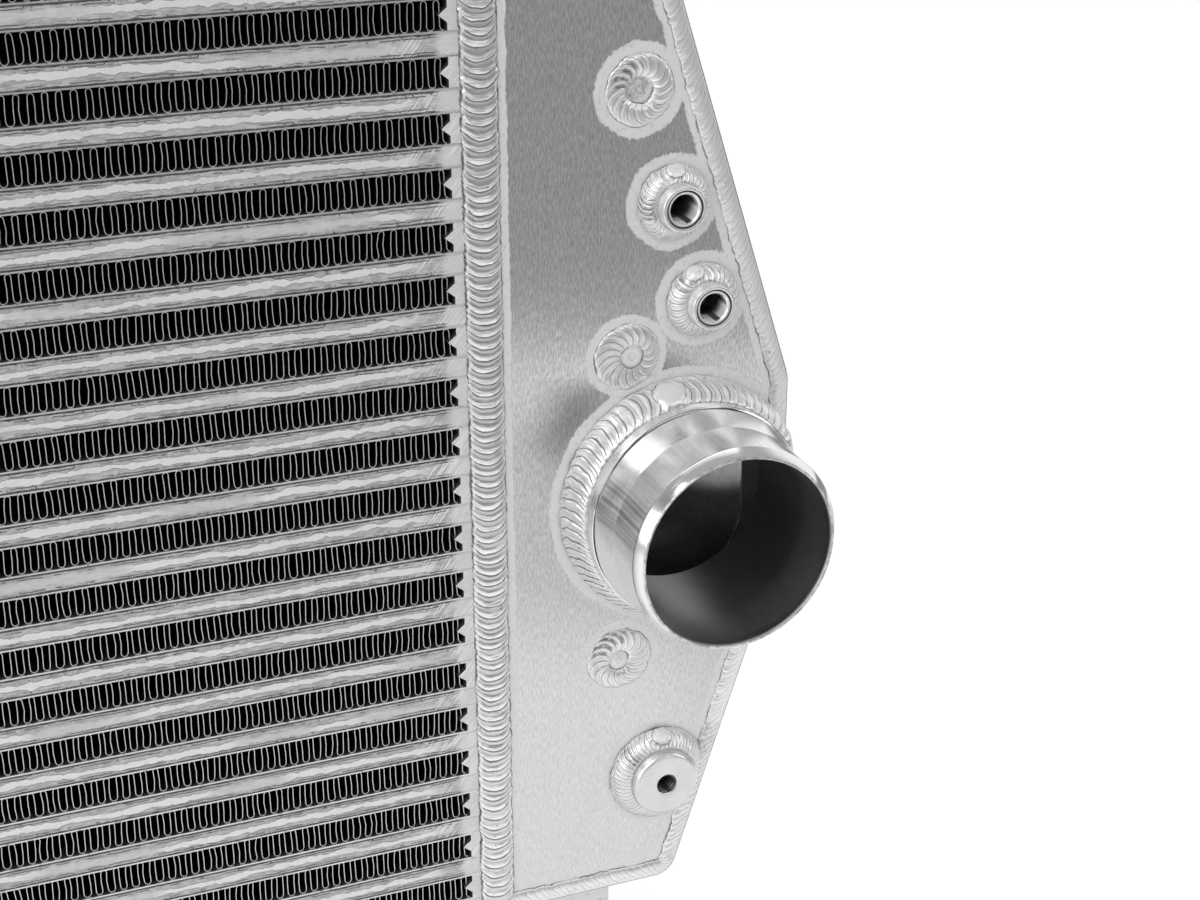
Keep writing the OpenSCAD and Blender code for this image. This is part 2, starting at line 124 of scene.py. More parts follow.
# Wiring of node trees. A Wire is one output; sums and products of wires add Math nodes
class Wire:
    def __init__(self, board, socket):
        self.board = board
        self.socket = socket

    def math(self, operation, *values):
        return self.board.node("ShaderNodeMath", {"operation": operation},
                               dict(enumerate(values)))

    def __add__(self, other):
        return self.math("ADD", self, other)

    def __radd__(self, other):
        return self.math("ADD", other, self)

    def __sub__(self, other):
        return self.math("SUBTRACT", self, other)

    def __rsub__(self, other):
        return self.math("SUBTRACT", other, self)

    def __mul__(self, other):
        return self.math("MULTIPLY", self, other)

    def __rmul__(self, other):
        return self.math("MULTIPLY", other, self)

    def __truediv__(self, other):
        return self.math("DIVIDE", self, other)

    def __rtruediv__(self, other):
        return self.math("DIVIDE", other, self)

    def __pow__(self, other):
        return self.math("POWER", self, other)

    def absolute(self):
        return self.math("ABSOLUTE", self)

    def fraction(self):
        return self.math("FRACT", self)

    def angleTo(self, other):                    # angle whose sine is this and cosine other
        return self.math("ARCTAN2", self, other)

    def smaller(self, other):
        return self.math("MINIMUM", self, other)

    def larger(self, other):
        return self.math("MAXIMUM", self, other)

    def ramp(self, a, b):                        # 0 below a, 1 above b, smooth between
        return self.board.node("ShaderNodeMapRange", {"interpolation_type": "SMOOTHSTEP"},
                               {"Value": self, "From Min": a, "From Max": b})

    def fall(self, a, b):                        # 1 below a, 0 above b
        return 1 - self.ramp(a, b)

    def band(self, a, b, c, d):                  # 1 from b to c, 0 below a and above d
        return self.ramp(a, b) * self.fall(c, d)

    def hypot(self, other):
        return (self ** 2 + other ** 2) ** 0.5


class Board:                                     # a node tree that is being wired
    def __init__(self, tree):
        self.tree = tree

    def node(self, kind, settings=None, sockets=None, output=0):
        made = self.tree.nodes.new(kind)
        for key, value in (settings or {}).items():
            setattr(made, key, value)
        for key, value in (sockets or {}).items():
            self.plug(made.inputs[key], value)
        return Wire(self, made.outputs[output])

    def plug(self, socket, value):
        if isinstance(value, Wire):
            self.tree.links.new(value.socket, socket)
        else:
            socket.default_value = value

    def xyz(self, **parts):
        return self.node("ShaderNodeCombineXYZ", None, parts)

    def part(self, vector, axis):
        return self.node("ShaderNodeSeparateXYZ", None, {"Vector": vector}, output=axis)

    def vector(self, operation, a, b):
        return self.node("ShaderNodeVectorMath", {"operation": operation}, {0: a, 1: b})

    def fact(self, name, kind="FLOAT"):          # what is stored on the points of a mesh
        return self.node("GeometryNodeInputNamedAttribute", {"data_type": kind}, {"Name": name})

    def store(self, geometry, name, value, kind="FLOAT"):
        return self.node("GeometryNodeStoreNamedAttribute", {"data_type": kind}, {
            "Geometry": geometry, "Name": name, "Value": value})

    def moved(self, geometry, way):
        return self.node("GeometryNodeSetPosition", None, {"Geometry": geometry, "Offset": way})

    def merged(self, geometry, reach):
        return self.node("GeometryNodeMergeByDistance", None, {
            "Geometry": geometry, "Distance": reach * mm})

    def noise(self, where, scale=1.0, detail=2.0, roughness=0.5):
        return self.node("ShaderNodeTexNoise", None, {
            "Vector": where, "Scale": scale, "Detail": detail, "Roughness": roughness})


class Finish(Board):                             # one material with a Principled shader
    def __init__(self, name, **even):            # even values are the same all over
        self.material = bpy.data.materials.new(name)
        self.material.use_nodes = True
        super().__init__(self.material.node_tree)
        self.shader = self.tree.nodes["Principled BSDF"]
        for key, value in even.items():
            self.shader.inputs[key.replace("_", " ")].default_value = value
        self.place = self.node("ShaderNodeTexCoord", output="Object")

    def across(self, axis):                      # one coordinate of the place
        return self.part(self.place, axis) / mm

    def facing(self, axis):                      # 1 where the surface faces along the axis
        return self.part(self.node("ShaderNodeNewGeometry", output="Normal"), axis).absolute()

    def about(self, spot):                       # radius, angle and height about a spot
        right, up = self.across("X") - spot.origin.x, self.across("Z") - spot.origin.z
        return right.hypot(up), up.angleTo(right), frontY - self.across("Y")

    def grain(self, scale, detail=3.0, move=(0, 0, 0), turn=None):
        where = self.place
        if turn:                                 # turned first, so the streaks lie aslant
            where = self.node("ShaderNodeMapping", None, {"Vector": where, "Rotation": turn})
        where = self.node("ShaderNodeMapping", None, {
            "Vector": where, "Location": move,
            "Scale": scale if isinstance(scale, tuple) else (scale,) * 3})
        return self.noise(where, detail=detail, roughness=0.6)

    def lines(self, where, detail):              # noise along one number
        return self.node("ShaderNodeTexNoise", {"noise_dimensions": "1D"}, {
            "W": where, "Scale": 1.0, "Detail": detail})

    def attribute(self, name, output="Fac"):
        return self.node("ShaderNodeAttribute", {"attribute_name": name}, output=output)

    def shade(self, mask, a, b):                 # colour a where mask is 0, b where it is 1
        return self.node("ShaderNodeMix", {"data_type": "RGBA"}, {
            0: mask, 6: opaque(a), 7: opaque(b)}, output=2)

    def coats(self, colour, *coats):             # each is a mask and the colour that it brings
        for mask, over in coats:
            colour = self.shade(mask, colour, over)
        return colour

    def bump(self, height, distance, strength=1.0, under=None):
        sockets = {"Height": height, "Distance": distance * mm, "Strength": strength}
        if under:
            sockets["Normal"] = under
        return self.node("ShaderNodeBump", None, sockets)

    def done(self, **varying):
        for key, value in varying.items():
            self.plug(self.shader.inputs[key.replace("_", " ")], value)
        return self.material


def opaque(value):                               # a grey or a colour, as a socket takes it
    if isinstance(value, Wire):
        return value
    return (*value, 1) if isinstance(value, tuple) else (value, value, value, 1)


# Meshes. Every piece is built in millimetres and ends in metres, at the origin
def newMesh(name, points, faces=(), edges=()):
    mesh = bpy.data.meshes.new(name)
    mesh.from_pydata([Vector(p) * mm for p in points], edges, faces)
    return mesh


def mend(mesh, reach):                           # closes seams and poles, normals outward
    work = bmesh.new()
    work.from_mesh(mesh)
    bmesh.ops.remove_doubles(work, verts=work.verts, dist=reach * mm)
    bmesh.ops.recalc_face_normals(work, faces=work.faces)
    work.to_mesh(mesh)
    work.free()


def smooth(mesh, sharp):
    mesh.shade_smooth()
    mesh.set_sharp_from_angle(angle=math.radians(sharp))


def meshObject(name, points, faces, material, sharp=30, merge=None):
    mesh = newMesh(name, points, faces)
    mesh.materials.append(material)
    if merge:
        mend(mesh, merge)
    smooth(mesh, sharp)
    return newObject(name, mesh)


def standFor(piece, slot, *nodes):
    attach(piece, "root")
    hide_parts(*nodes)


def paintNodes(material, *nodes):
    for name in nodes:
        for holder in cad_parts[name].material_slots:
            holder.material = material


# Spot on a sheet: a place, with two directions in the sheet and one out of it
class Spot:
    def __init__(self, origin, right, up, out):
        self.origin, self.right, self.up, self.out = map(Vector, (origin, right, up, out))

    def way(self, angle):
        return self.right * math.cos(angle) + self.up * math.sin(angle)

    def point(self, angle, radius, height):
        return self.origin + self.way(angle) * radius + self.out * height

    def lean(self, angle, outward, height):      # direction made of radial and height parts
        return (self.way(angle) * outward + self.out * height).normalized()


def frontSpot(node):
    at = middle(node)
    return Spot((at.x, frontY, at.z), (1, 0, 0), (0, 0, 1), (0, -1, 0))


# A turned piece, from a closed profile of radius and height. Its thread, if it has one, gives
# rows that are cut helically: (from height, to height, pitch, depth)
def turned(name, spot, sizes, material):
    rows = list(sizes["profile"])
    segments = sizes["segments"]
    if "thread" in sizes:
        start, end, pitch, depth = sizes["thread"]
        steps = int(abs(end - start) / pitch * 5)
        at = rows.index("thread")
        radius = rows[at + 1][0]
        rows[at:at + 1] = [(radius, start + (end - start) * k / steps, "cut")
                           for k in range(steps + 1)]
    points, faces = [], []
    for row in rows:
        for k in range(segments):
            radius = row[0]
            if "cut" in row:
                turn = (row[1] / pitch - k / segments) % 1
                radius += depth * (1 - abs(2 * turn - 1) * 2)
            points.append(spot.point(2 * math.pi * k / segments, radius, row[1]))
    for i in range(len(rows)):
        a, b = i * segments, (i + 1) % len(rows) * segments
        for k in range(segments):
            m = (k + 1) % segments
            faces.append((a + k, a + m, b + m, b + k))
    return meshObject(name, points, faces, material, sizes["sharp"], merge=0.002)


# Weld beads. A bead is laid as rows of points on the metal, and its crown and ripples are
# raised by one Geometry Nodes tree. Each point holds how far across the bead it lies (-1 to
# 1), how far along the bead, the crown's height there, how far up a blob it lies where the
# weld was stopped (0 to 1), and the way out of the metal
beadFacts = ("across", "along", "crown", "blob")


def layBead(name, rows, closed, material, flipped=False):
    width = len(rows[0][1])
    points, faces, outward = [], [], []
    facts = {key: [] for key in beadFacts}
    for along, columns in rows:
        columns = columns[::-1] if flipped else columns
        for j, (point, out, across, crown, blob) in enumerate(columns):
            points.append(point)
            outward.extend(Vector(out))
            far = along[j] if isinstance(along, list) else along
            for key, value in zip(beadFacts, (across, far * mm, crown * mm, blob)):
                facts[key].append(value)
    for i in range(len(rows) if closed else len(rows) - 1):
        a, b = i * width, (i + 1) % len(rows) * width
        for j in range(width):
            k = (j + 1) % width
            faces.append((a + j, b + j, b + k, a + k))
    if not closed:
        end = (len(rows) - 1) * width
        faces += [tuple(range(width)), tuple(range(end + width - 1, end - 1, -1))]
    piece = meshObject(name, points, faces, material, sharp=180)
    for key in beadFacts:
        layer = piece.data.attributes.new(key, "FLOAT", "POINT")
        layer.data.foreach_set("value", facts[key])
    layer = piece.data.attributes.new("outward", "FLOAT_VECTOR", "POINT")
    layer.data.foreach_set("vector", outward)
    return piece


def newTree(name, sizes):
    tree = bpy.data.node_groups.new(name, "GeometryNodeTree")
    tree.interface.new_socket("Geometry", in_out="INPUT", socket_type="NodeSocketGeometry")
    for key in sizes:
        tree.interface.new_socket(key, in_out="INPUT", socket_type="NodeSocketFloat")
    tree.interface.new_socket("Finish", in_out="INPUT", socket_type="NodeSocketMaterial")
    tree.interface.new_socket("Geometry", in_out="OUTPUT", socket_type="NodeSocketGeometry")
    board = Board(tree)
    entry = tree.nodes.new("NodeGroupInput")
    return board, {socket.name: Wire(board, socket) for socket in entry.outputs if socket.name}


def closeTree(board, geometry, ports):
    real = board.node("GeometryNodeRealizeInstances", None, {"Geometry": geometry})
    dressed = board.node("GeometryNodeSetMaterial", None, {
        "Geometry": real, "Material": ports["Finish"]})
    leave = board.tree.nodes.new("NodeGroupOutput")
    board.plug(leave.inputs[0], dressed)
    return board.tree


def growPiece(piece, tree, sizes, material):     # runs a tree on a piece and keeps the mesh
    modifier = piece.modifiers.new("grow", "NODES")
    modifier.node_group = tree
    for item in tree.interface.items_tree:
        if item.in_out == "INPUT" and item.name in sizes:
            modifier[item.identifier] = float(sizes[item.name])
        if item.in_out == "INPUT" and item.name == "Finish":
            modifier[item.identifier] = material
    graph = bpy.context.evaluated_depsgraph_get()
    old = piece.data
    mesh = bpy.data.meshes.new_from_object(piece.evaluated_get(graph))
    piece.modifiers.clear()
    piece.data = mesh
    mesh.name = piece.name
    bpy.data.meshes.remove(old)
    return piece


bowlShape = 2.6                                  # how square the bottom of a ripple's U is


def rippleTree():
    board, ports = newTree("weldRipples", (
        "Pitch", "Sag", "Slant", "Depth", "Wobble", "Dome", "Seed"))

    across, along, crown, blob = map(board.fact, beadFacts)

    def noise(scale, shift):
        place = board.vector("ADD", board.node("GeometryNodeInputPosition"),
                             board.xyz(X=ports["Seed"] * shift))
        return board.noise(place, scale) - 0.5

    bowl = 1 - across.absolute() ** bowlShape
    drift = noise(200.0, 0.37) * ports["Wobble"]
    phase = (along + ports["Sag"] * bowl + ports["Slant"] * across) / ports["Pitch"] + drift
    saw = phase.fraction()
    notch = 1 - saw.band(-0.02, 0.1, 0.2, 0.5)
    uneven = 1 + noise(90.0, 0.73) * 0.3
    calm = 1 - (blob * 8).smaller(1.0)
    height = crown * uneven - ports["Depth"] * calm * notch * (bowl * 3).smaller(1.0)
    height = height.larger(0.0) + ports["Dome"] * (blob * (2 - blob)) ** 0.5
    move = board.node("ShaderNodeVectorMath", {"operation": "SCALE"}, {
        0: board.fact("outward", "FLOAT_VECTOR"), "Scale": height})
    raised = board.moved(ports["Geometry"], move)
    # The phase is kept as a sine and a cosine, so that it runs smoothly round a closed bead
    turn = phase * (2 * math.pi)
    wave = board.xyz(X=turn.math("SINE", turn) * calm, Y=turn.math("COSINE", turn), Z=calm)
    return closeTree(board, board.store(raised, "wave", wave, "FLOAT_VECTOR"), ports)


weldRipples = rippleTree()


def crownAt(across, height):
    return height * max(0.0, 1 - across * across) ** 0.6


def ragged(point, size):                         # how far a toe wanders at a place
    return size * (flutter(point * 0.3) + 0.6 * flutter(point * 0.9) + 0.4 * flutter(point * 2.3))


# Row of a bead that lies on a straight base line from one toe to the other
def beadColumns(toe, heel, out, height, count, sink, blobAt=None):
    columns = []
    for j in range(count + 1):
        across = math.sin(math.pi * (j / count - 0.5))
        point = toe.lerp(heel, (across + 1) / 2)
        blob = blobAt(across) if blobAt else 0.0
        columns.append((point, out, across, crownAt(across, height), blob))
    columns.append((heel - out * sink, out, 1.0, 0.0, 0.0))
    columns.append((toe - out * sink, out, -1.0, 0.0, 0.0))
    return columns


def ripple(piece, sizes, seed):                  # raises the crown and ripples of a bead
    values = {key: sizes[key] * mm for key in ("Pitch", "Sag", "Slant", "Depth", "Dome")}
    return growPiece(piece, weldRipples, {**values, "Wobble": sizes["Wobble"], "Seed": seed},
                     piece.data.materials[0])


# Bead round a fitting. Its blob is a turn from the top, a radius and how far out it lies.
# Ripples bend the other way just after the blob, and sweep aslant before it is reached again
roundLook = {"tuck": 0.3, "wander": 0.45, "sink": 0.5, "columns": 12, "bendGrows": (0, 0.06),
             "bendEnds": (0.40, 0.55), "sweepGrows": (0.62, 0.92), "sweepBow": 0.3}


def roundBead(name, spot, sizes, material, seed, blob, limit=None):
    toe, heel, rise, weld = (sizes[key] for key in ("weldToe", "radius", "weldRise", "weld"))
    length = math.pi * (toe + heel)
    half = math.hypot(toe - heel, rise) / 2
    steps = int(length / sizes["step"])
    whole = max(1, round(length / weld["Pitch"]))
    rows = []
    for i in range(steps):
        turn = i / steps
        angle = math.pi / 2 + 2 * math.pi * turn
        reach = toe - roundLook["tuck"] + ragged(spot.point(angle, toe, 0), roundLook["wander"])
        reach = min(reach, limit(angle)) if limit else reach
        out = spot.lean(angle, rise + 0.001, toe - heel)
        gap = ((turn - blob[0] + 0.5) % 1 - 0.5) * length

        def blobAt(across):
            return max(0.0, 1 - math.hypot(gap, (across - blob[2]) * half) / blob[1])

        columns = beadColumns(spot.point(angle, reach, 0), spot.point(angle, heel, rise), out,
                              sizes["crown"], roundLook["columns"], roundLook["sink"], blobAt)
        since = (turn - blob[0]) % 1
        swept = smoothStep(*roundLook["sweepGrows"], since)
        bent = weld.get("Bent", 0) * (smoothStep(*roundLook["bendGrows"], since)
                                      - smoothStep(*roundLook["bendEnds"], since))
        along = []
        for across in (column[2] for column in columns):
            lead = swept * (weld["Sweep"] * across
                            - weld["Sag"] * roundLook["sweepBow"] * (1 - across ** 2))
            lead -= bent * weld["Sag"] * (1 - abs(across) ** bowlShape)
            along.append(turn * whole * weld["Pitch"] + lead)
        rows.append((along, columns))
    return ripple(layBead(name, rows, True, material), weld, seed)


# Finishes. That of a weld has body and line, the greys of its crests and of the steps between
# them, which start at the share dark of a ripple, and toe, the grey of its edges. The steps are
# painted shade and the crests carry a painted highlight; outer paints a dark shade line along
# the bead's outer face
def weldFinish(name, metal, body, line, dark, depth, toe=0.09, heel=1.0, gleam=1.0, outer=0.0,
               coil=0.0, crevice=0.0, stains=(), hollows=(), soil=1.0):
    finish = Finish(name)
    across, blob = finish.attribute("across"), finish.attribute("blob")
    wave = finish.attribute("wave", "Vector")
    sine, cosine, calm = (finish.part(wave, axis) for axis in "XYZ")
    saw = (sine.angleTo(cosine) / (2 * math.pi) + 1).fraction()
    soot = finish.grain(260, 5)
    mottle = finish.grain(80, move=(3, 1, 2))
    fine = finish.grain(900, 2, (6, 1, 1))
    pits = finish.grain(520, 2, (1, 7, 3)).ramp(0.70, 0.74)
    loose = finish.grain(130, move=(8, 3, 5))
    side = across.absolute() + (soot - 0.5) * 0.14 + (loose - 0.5) * 0.30
    edge = side.ramp(0.91 - crevice, 0.96 - crevice) * (1 - across.ramp(0.0, 0.2) * (1 - heel))
    lip = side.ramp(0.76, 0.84) * (1 - edge) * loose.ramp(0.35, 0.5)
    # painted highlight on each ripple's crest, and painted shade on the step below it
    crest = (saw + (mottle - 0.5) * 0.3).fall(0.20, 0.40) * calm
    step = (saw + (soot - 0.5) * 0.06).ramp(dark, 0.97) ** 1.6 * calm
    thread = (saw - 0.55).absolute().fall(0.02, 0.09) * calm * mottle.ramp(0.42, 0.6)
    rim = calm.band(0.1, 0.5, 0.5, 0.9) * loose.ramp(0.3, 0.6)
    ring = (blob * 2.6).fraction().ramp(0.80, 0.97) * (1 - calm) * coil
    smoke = finish.grain(75, 4, (4, 4, 9)).ramp(0.60, 0.72)

    def patches(places, soft):
        mask = 0.0
        for x, z, radius in places:
            away = (finish.across("X") - x).hypot(finish.across("Z") - z)
            mask = (away + (loose - 0.5) * 3).fall(radius * soft, radius).larger(mask)
        return mask

    coats = [(1 - calm, 0.96), (thread * 0.5, line * 1.4), (crest * gleam, 0.99),
             (smoke * 0.45, (0.40, 0.42, 0.46))]
    if stains:
        stain = patches(stains, 0.5) * calm * saw.ramp(0.1, 0.8) * fine.ramp(0.2, 0.6)
        coats.append((stain * (0.5 + soot * 0.7) * soil, (0.13, 0.14, 0.16)))
    # painted shade on the steps between crests, in the line grey; rim is a dark outline round the
    # blob
    coats += [(step.larger(rim) * (0.6 + mottle * 0.6), line), (ring, line)]
    if hollows:
        hollow = patches(hollows, 0.7) * (1 - calm)
        coats.append((hollow * (0.2 + fine.ramp(0.4, 0.6) * 0.3), 0.16))
    worn = (0.5 + soot * 0.6) * (0.45 + loose.ramp(0.4, 0.58) * 0.55)
    # outer: a dark painted shade line along the bead's outer face, seen edge-on
    coats += [(across.ramp(0.41, 0.47) * outer, 0.10), (lip * 0.7, 0.98), (edge * worn, toe),
              (pits * 0.7, 0.2)]
    colour = finish.shade(mottle.ramp(0.3, 0.7) * 0.6 + fine * 0.4, body * 0.88, body * 1.08)
    bump = finish.bump(crest * 0.8 - step * 0.5 + saw * 0.2, depth, 0.8)
    return finish.done(Base_Color=finish.coats(colour, *coats),
                       Roughness=0.24 + mottle * 0.14 + step * 0.15,
                       Normal=finish.bump(soot * 0.7 + fine * 0.3, 0.10, 0.5, bump),
                       Metallic=metal - (1 - calm) * 0.4)


# Brushed sheet, with pale rings round its welds and pale strips along its edges
sheetLook = {"dark": 0.58, "bright": 0.84, "pale": 0.96, "dust": 0.6, "metal": 0.86,
             "rough": 0.21, "edge": 9.0, "core": 8.2}


def sheetFinish(name, rings, side):              # rings as x, z, radius and how far they reach
    finish = Finish(name, Anisotropic=0.8)
    x, z = finish.across("X"), finish.across("Z")
    fine = finish.grain((2600, 2600, 440), 4)
    broad = finish.grain((520, 90, 9), move=(2, 5, 1))
    cloud = finish.grain((14, 14, 9), 2)
    smoothed = z.fall(60, 200)                   # the grain fades out towards the bottom
    tone = (fine.ramp(0.36, 0.64) - 0.5) * (0.95 - smoothed * 0.5) + (broad - 0.5) * 0.25
    # near the bottom the sheet grows darker towards the tank's outer side
    tone = tone + (cloud - 0.5) * 0.3 - smoothed * (x * side).ramp(285, 325) * 0.3
    colour = finish.shade(0.5 + tone, sheetLook["dark"], sheetLook["bright"])
    rough = sheetLook["rough"] + (broad - 0.5) * 0.05 + (cloud - 0.5) * 0.06
    metal = sheetLook["metal"]
    if rings:
        coarse = finish.grain((900, 900, 500), move=(4, 4, 4)) - 0.5
        loose = finish.grain(110, 2, (9, 4, 4)) - 0.5
        pale = 0.0
        for ringX, ringZ, radius, reach in rings:
            away = (x - ringX).hypot(z - ringZ) + coarse * 2.0 + loose * 2.2
            pale = away.fall(radius + reach - 0.5, radius + reach + 0.3).larger(pale)
        out, up = x * side - coreEnd, z - coreLow
        gap = 99.0                               # distance from the nearest edge of the sheet
        for (ax, az), (bx, bz) in zip(tank["corners"], tank["corners"][1:]):
            length = math.dist((ax, az), (bx, bz))
            gap = (((out - ax) * (az - bz) + (up - az) * (bx - ax)) / length).smaller(gap)
        edge, coreSide = sheetLook["edge"], sheetLook["core"]
        gap = gap + coarse * 1.6 + loose * 2.4
        out = out + coarse * 1.0 + loose * 1.6
        pale = pale.larger(gap.fall(edge - 0.3, edge + 0.4))
        pale = pale.larger(out.fall(coreSide - 0.3, coreSide + 0.3))
        dust = finish.grain(700, move=(7, 2, 2)).ramp(0.56, 0.68)
        colour = finish.coats(colour, (pale * 0.88, sheetLook["pale"]),
                              (pale * dust * 0.4, sheetLook["dust"]))
        rough = rough + pale * 0.30
        metal = metal - pale * 0.62
    return finish.done(Base_Color=colour, Roughness=rough, Metallic=metal,
                       Normal=finish.bump(fine, 0.05, 0.6))


# Polished neck. On its left flank lie faint dark flutes, painted reflections of a dim room, and
# its band is painted with darker fluted reflections too
def neckFinish(name, spot):
    finish = Finish(name, Metallic=1.0)
    reach, angle, height = finish.about(spot)
    lines = finish.lines(height * 9.0, 3.0)
    streaks = finish.lines(angle * 26.0, 4.0)
    paintedFlutes = streaks.ramp(0.35, 0.65)
    mouth = height.ramp(42.4, 43.0)
    band = height.ramp(27.6, 28.2) * (1 - mouth)
    rim = height.ramp(45.9, 46.3)
    # painted reflection: a dark patch on the left flank, above the groove
    paintedFlankReflection = angle.band(2.50, 2.66, 2.96, 3.06) * height.ramp(17.3, 17.6)
    bore = reach.fall(30.6, 30.9)
    specks = finish.grain((450, 300, 450), 2, (2, 2, 2)).ramp(0.70, 0.74)
    # painted reflections: the band darkened along its flutes, and the dark patch on the left
    # flank
    colour = finish.coats(
        finish.shade(paintedFlutes * band * 0.5 + 0.3, 0.95, 0.78),
        (paintedFlankReflection * (1 - mouth) * (0.25 + paintedFlutes * 0.5), 0.30),
        (rim * finish.grain(500, 4).ramp(0.35, 0.65), 0.45),
        (bore * 0.9, 0.76), (bore * specks * 0.6, 0.9))
    bump = finish.bump(streaks * band, 0.04, 0.6, finish.bump(lines, 0.02, 0.5))
    rough = 0.05 + lines * 0.04 + rim * 0.25 + band * streaks * 0.08 + bore * 0.24
    return finish.done(Base_Color=colour, Roughness=rough, Normal=bump)


def lathed(finish):                              # scuffs, and the fine lines of the lathe
    scuff = finish.grain(160, 4)
    return scuff, finish.bump(finish.grain((90, 2600, 90), 2) * 0.6 + scuff * 0.4, 0.03, 0.5)


def rodFinish():
    finish = Finish("drawnRod", Metallic=1.0)
    scuff, bump = lathed(finish)
    return finish.done(Base_Color=finish.shade(scuff.ramp(0.3, 0.7), 0.72, 0.8),
                       Roughness=0.3 + scuff * 0.12, Normal=bump)


# Turned fitting with a threaded bore, painted near black as shade. Its look gives the bore's
# radius and mouth, the radius of the thread's crests, a ring in the face painted dark as shade,
# and how bright the bore's facets are, which are painted reflections of a window; the crests
# carry painted glints
def boredFinish(name, spot, look):
    finish = Finish(name)
    reach, angle, height = finish.about(spot)
    turn = angle / math.pi * 180
    bore, (ringFrom, ringTo), crest = look["bore"], look["ring"], look["crest"]
    deep = look["mouth"] - height
    # painted shade: the bore inside the mouth is near black
    inside = reach.fall(bore, bore + 0.08) * deep.ramp(0.0, 0.1)
    scuff, bump = lathed(finish)
    # painted shade: the groove ring in the face is near black
    ring = reach.band(ringFrom - 0.05, ringFrom + 0.08, ringTo - 0.06, ringTo + 0.02)
    ring = ring * deep.ramp(-1.2, -1.1)
    # painted reflections of a window on the bore's facets, white and hardly metallic
    paintedGlint = turn.band(-136, -128, -84, -78) * deep.fall(6.4, 7.2)
    side = turn.band(-60, -54, -4, 14) * deep.fall(2.5, 8.0)
    rest = turn.band(-4, 14, 50, 80) * deep.fall(2.0, 4.0) * 0.35
    paintedGlint = inside * paintedGlint.larger(side).larger(rest) * (0.7 + scuff * 0.4) * look["lit"]
    # painted glints on the thread's crests
    thread = inside * reach.fall(crest - 0.04, crest + 0.10) * scuff.ramp(0.3, 0.6)
    colour = finish.coats(
        finish.shade(scuff.ramp(0.3, 0.7), look["shade"] * 0.91, look["shade"]),
        (ring * 0.95, 0.05), (inside, 0.035), (thread, (0.80, 0.74, 0.69)), (paintedGlint, 1.0))
    return finish.done(Base_Color=colour, Roughness=0.22 + scuff * 0.12 + inside * 0.2,
                       Metallic=0.86 - paintedGlint * 0.8, Normal=bump)


# Bars: tarnished along both edges, with a pale wavy streak between and sanded ends. Where the
# streak breaks off it has a soft painted highlight, and the noses' sides are painted dark as
# shade
barLook = {"dark": 0.43, "bright": 0.72, "haze": 0.84, "border": 0.24, "streak": 0.97,
           "pale": 0.90, "sanded": 0.98, "specks": 0.12, "crack": 0.10, "seam": 0.06,
           "shut": 0.03, "metal": 0.45, "rough": 0.60}


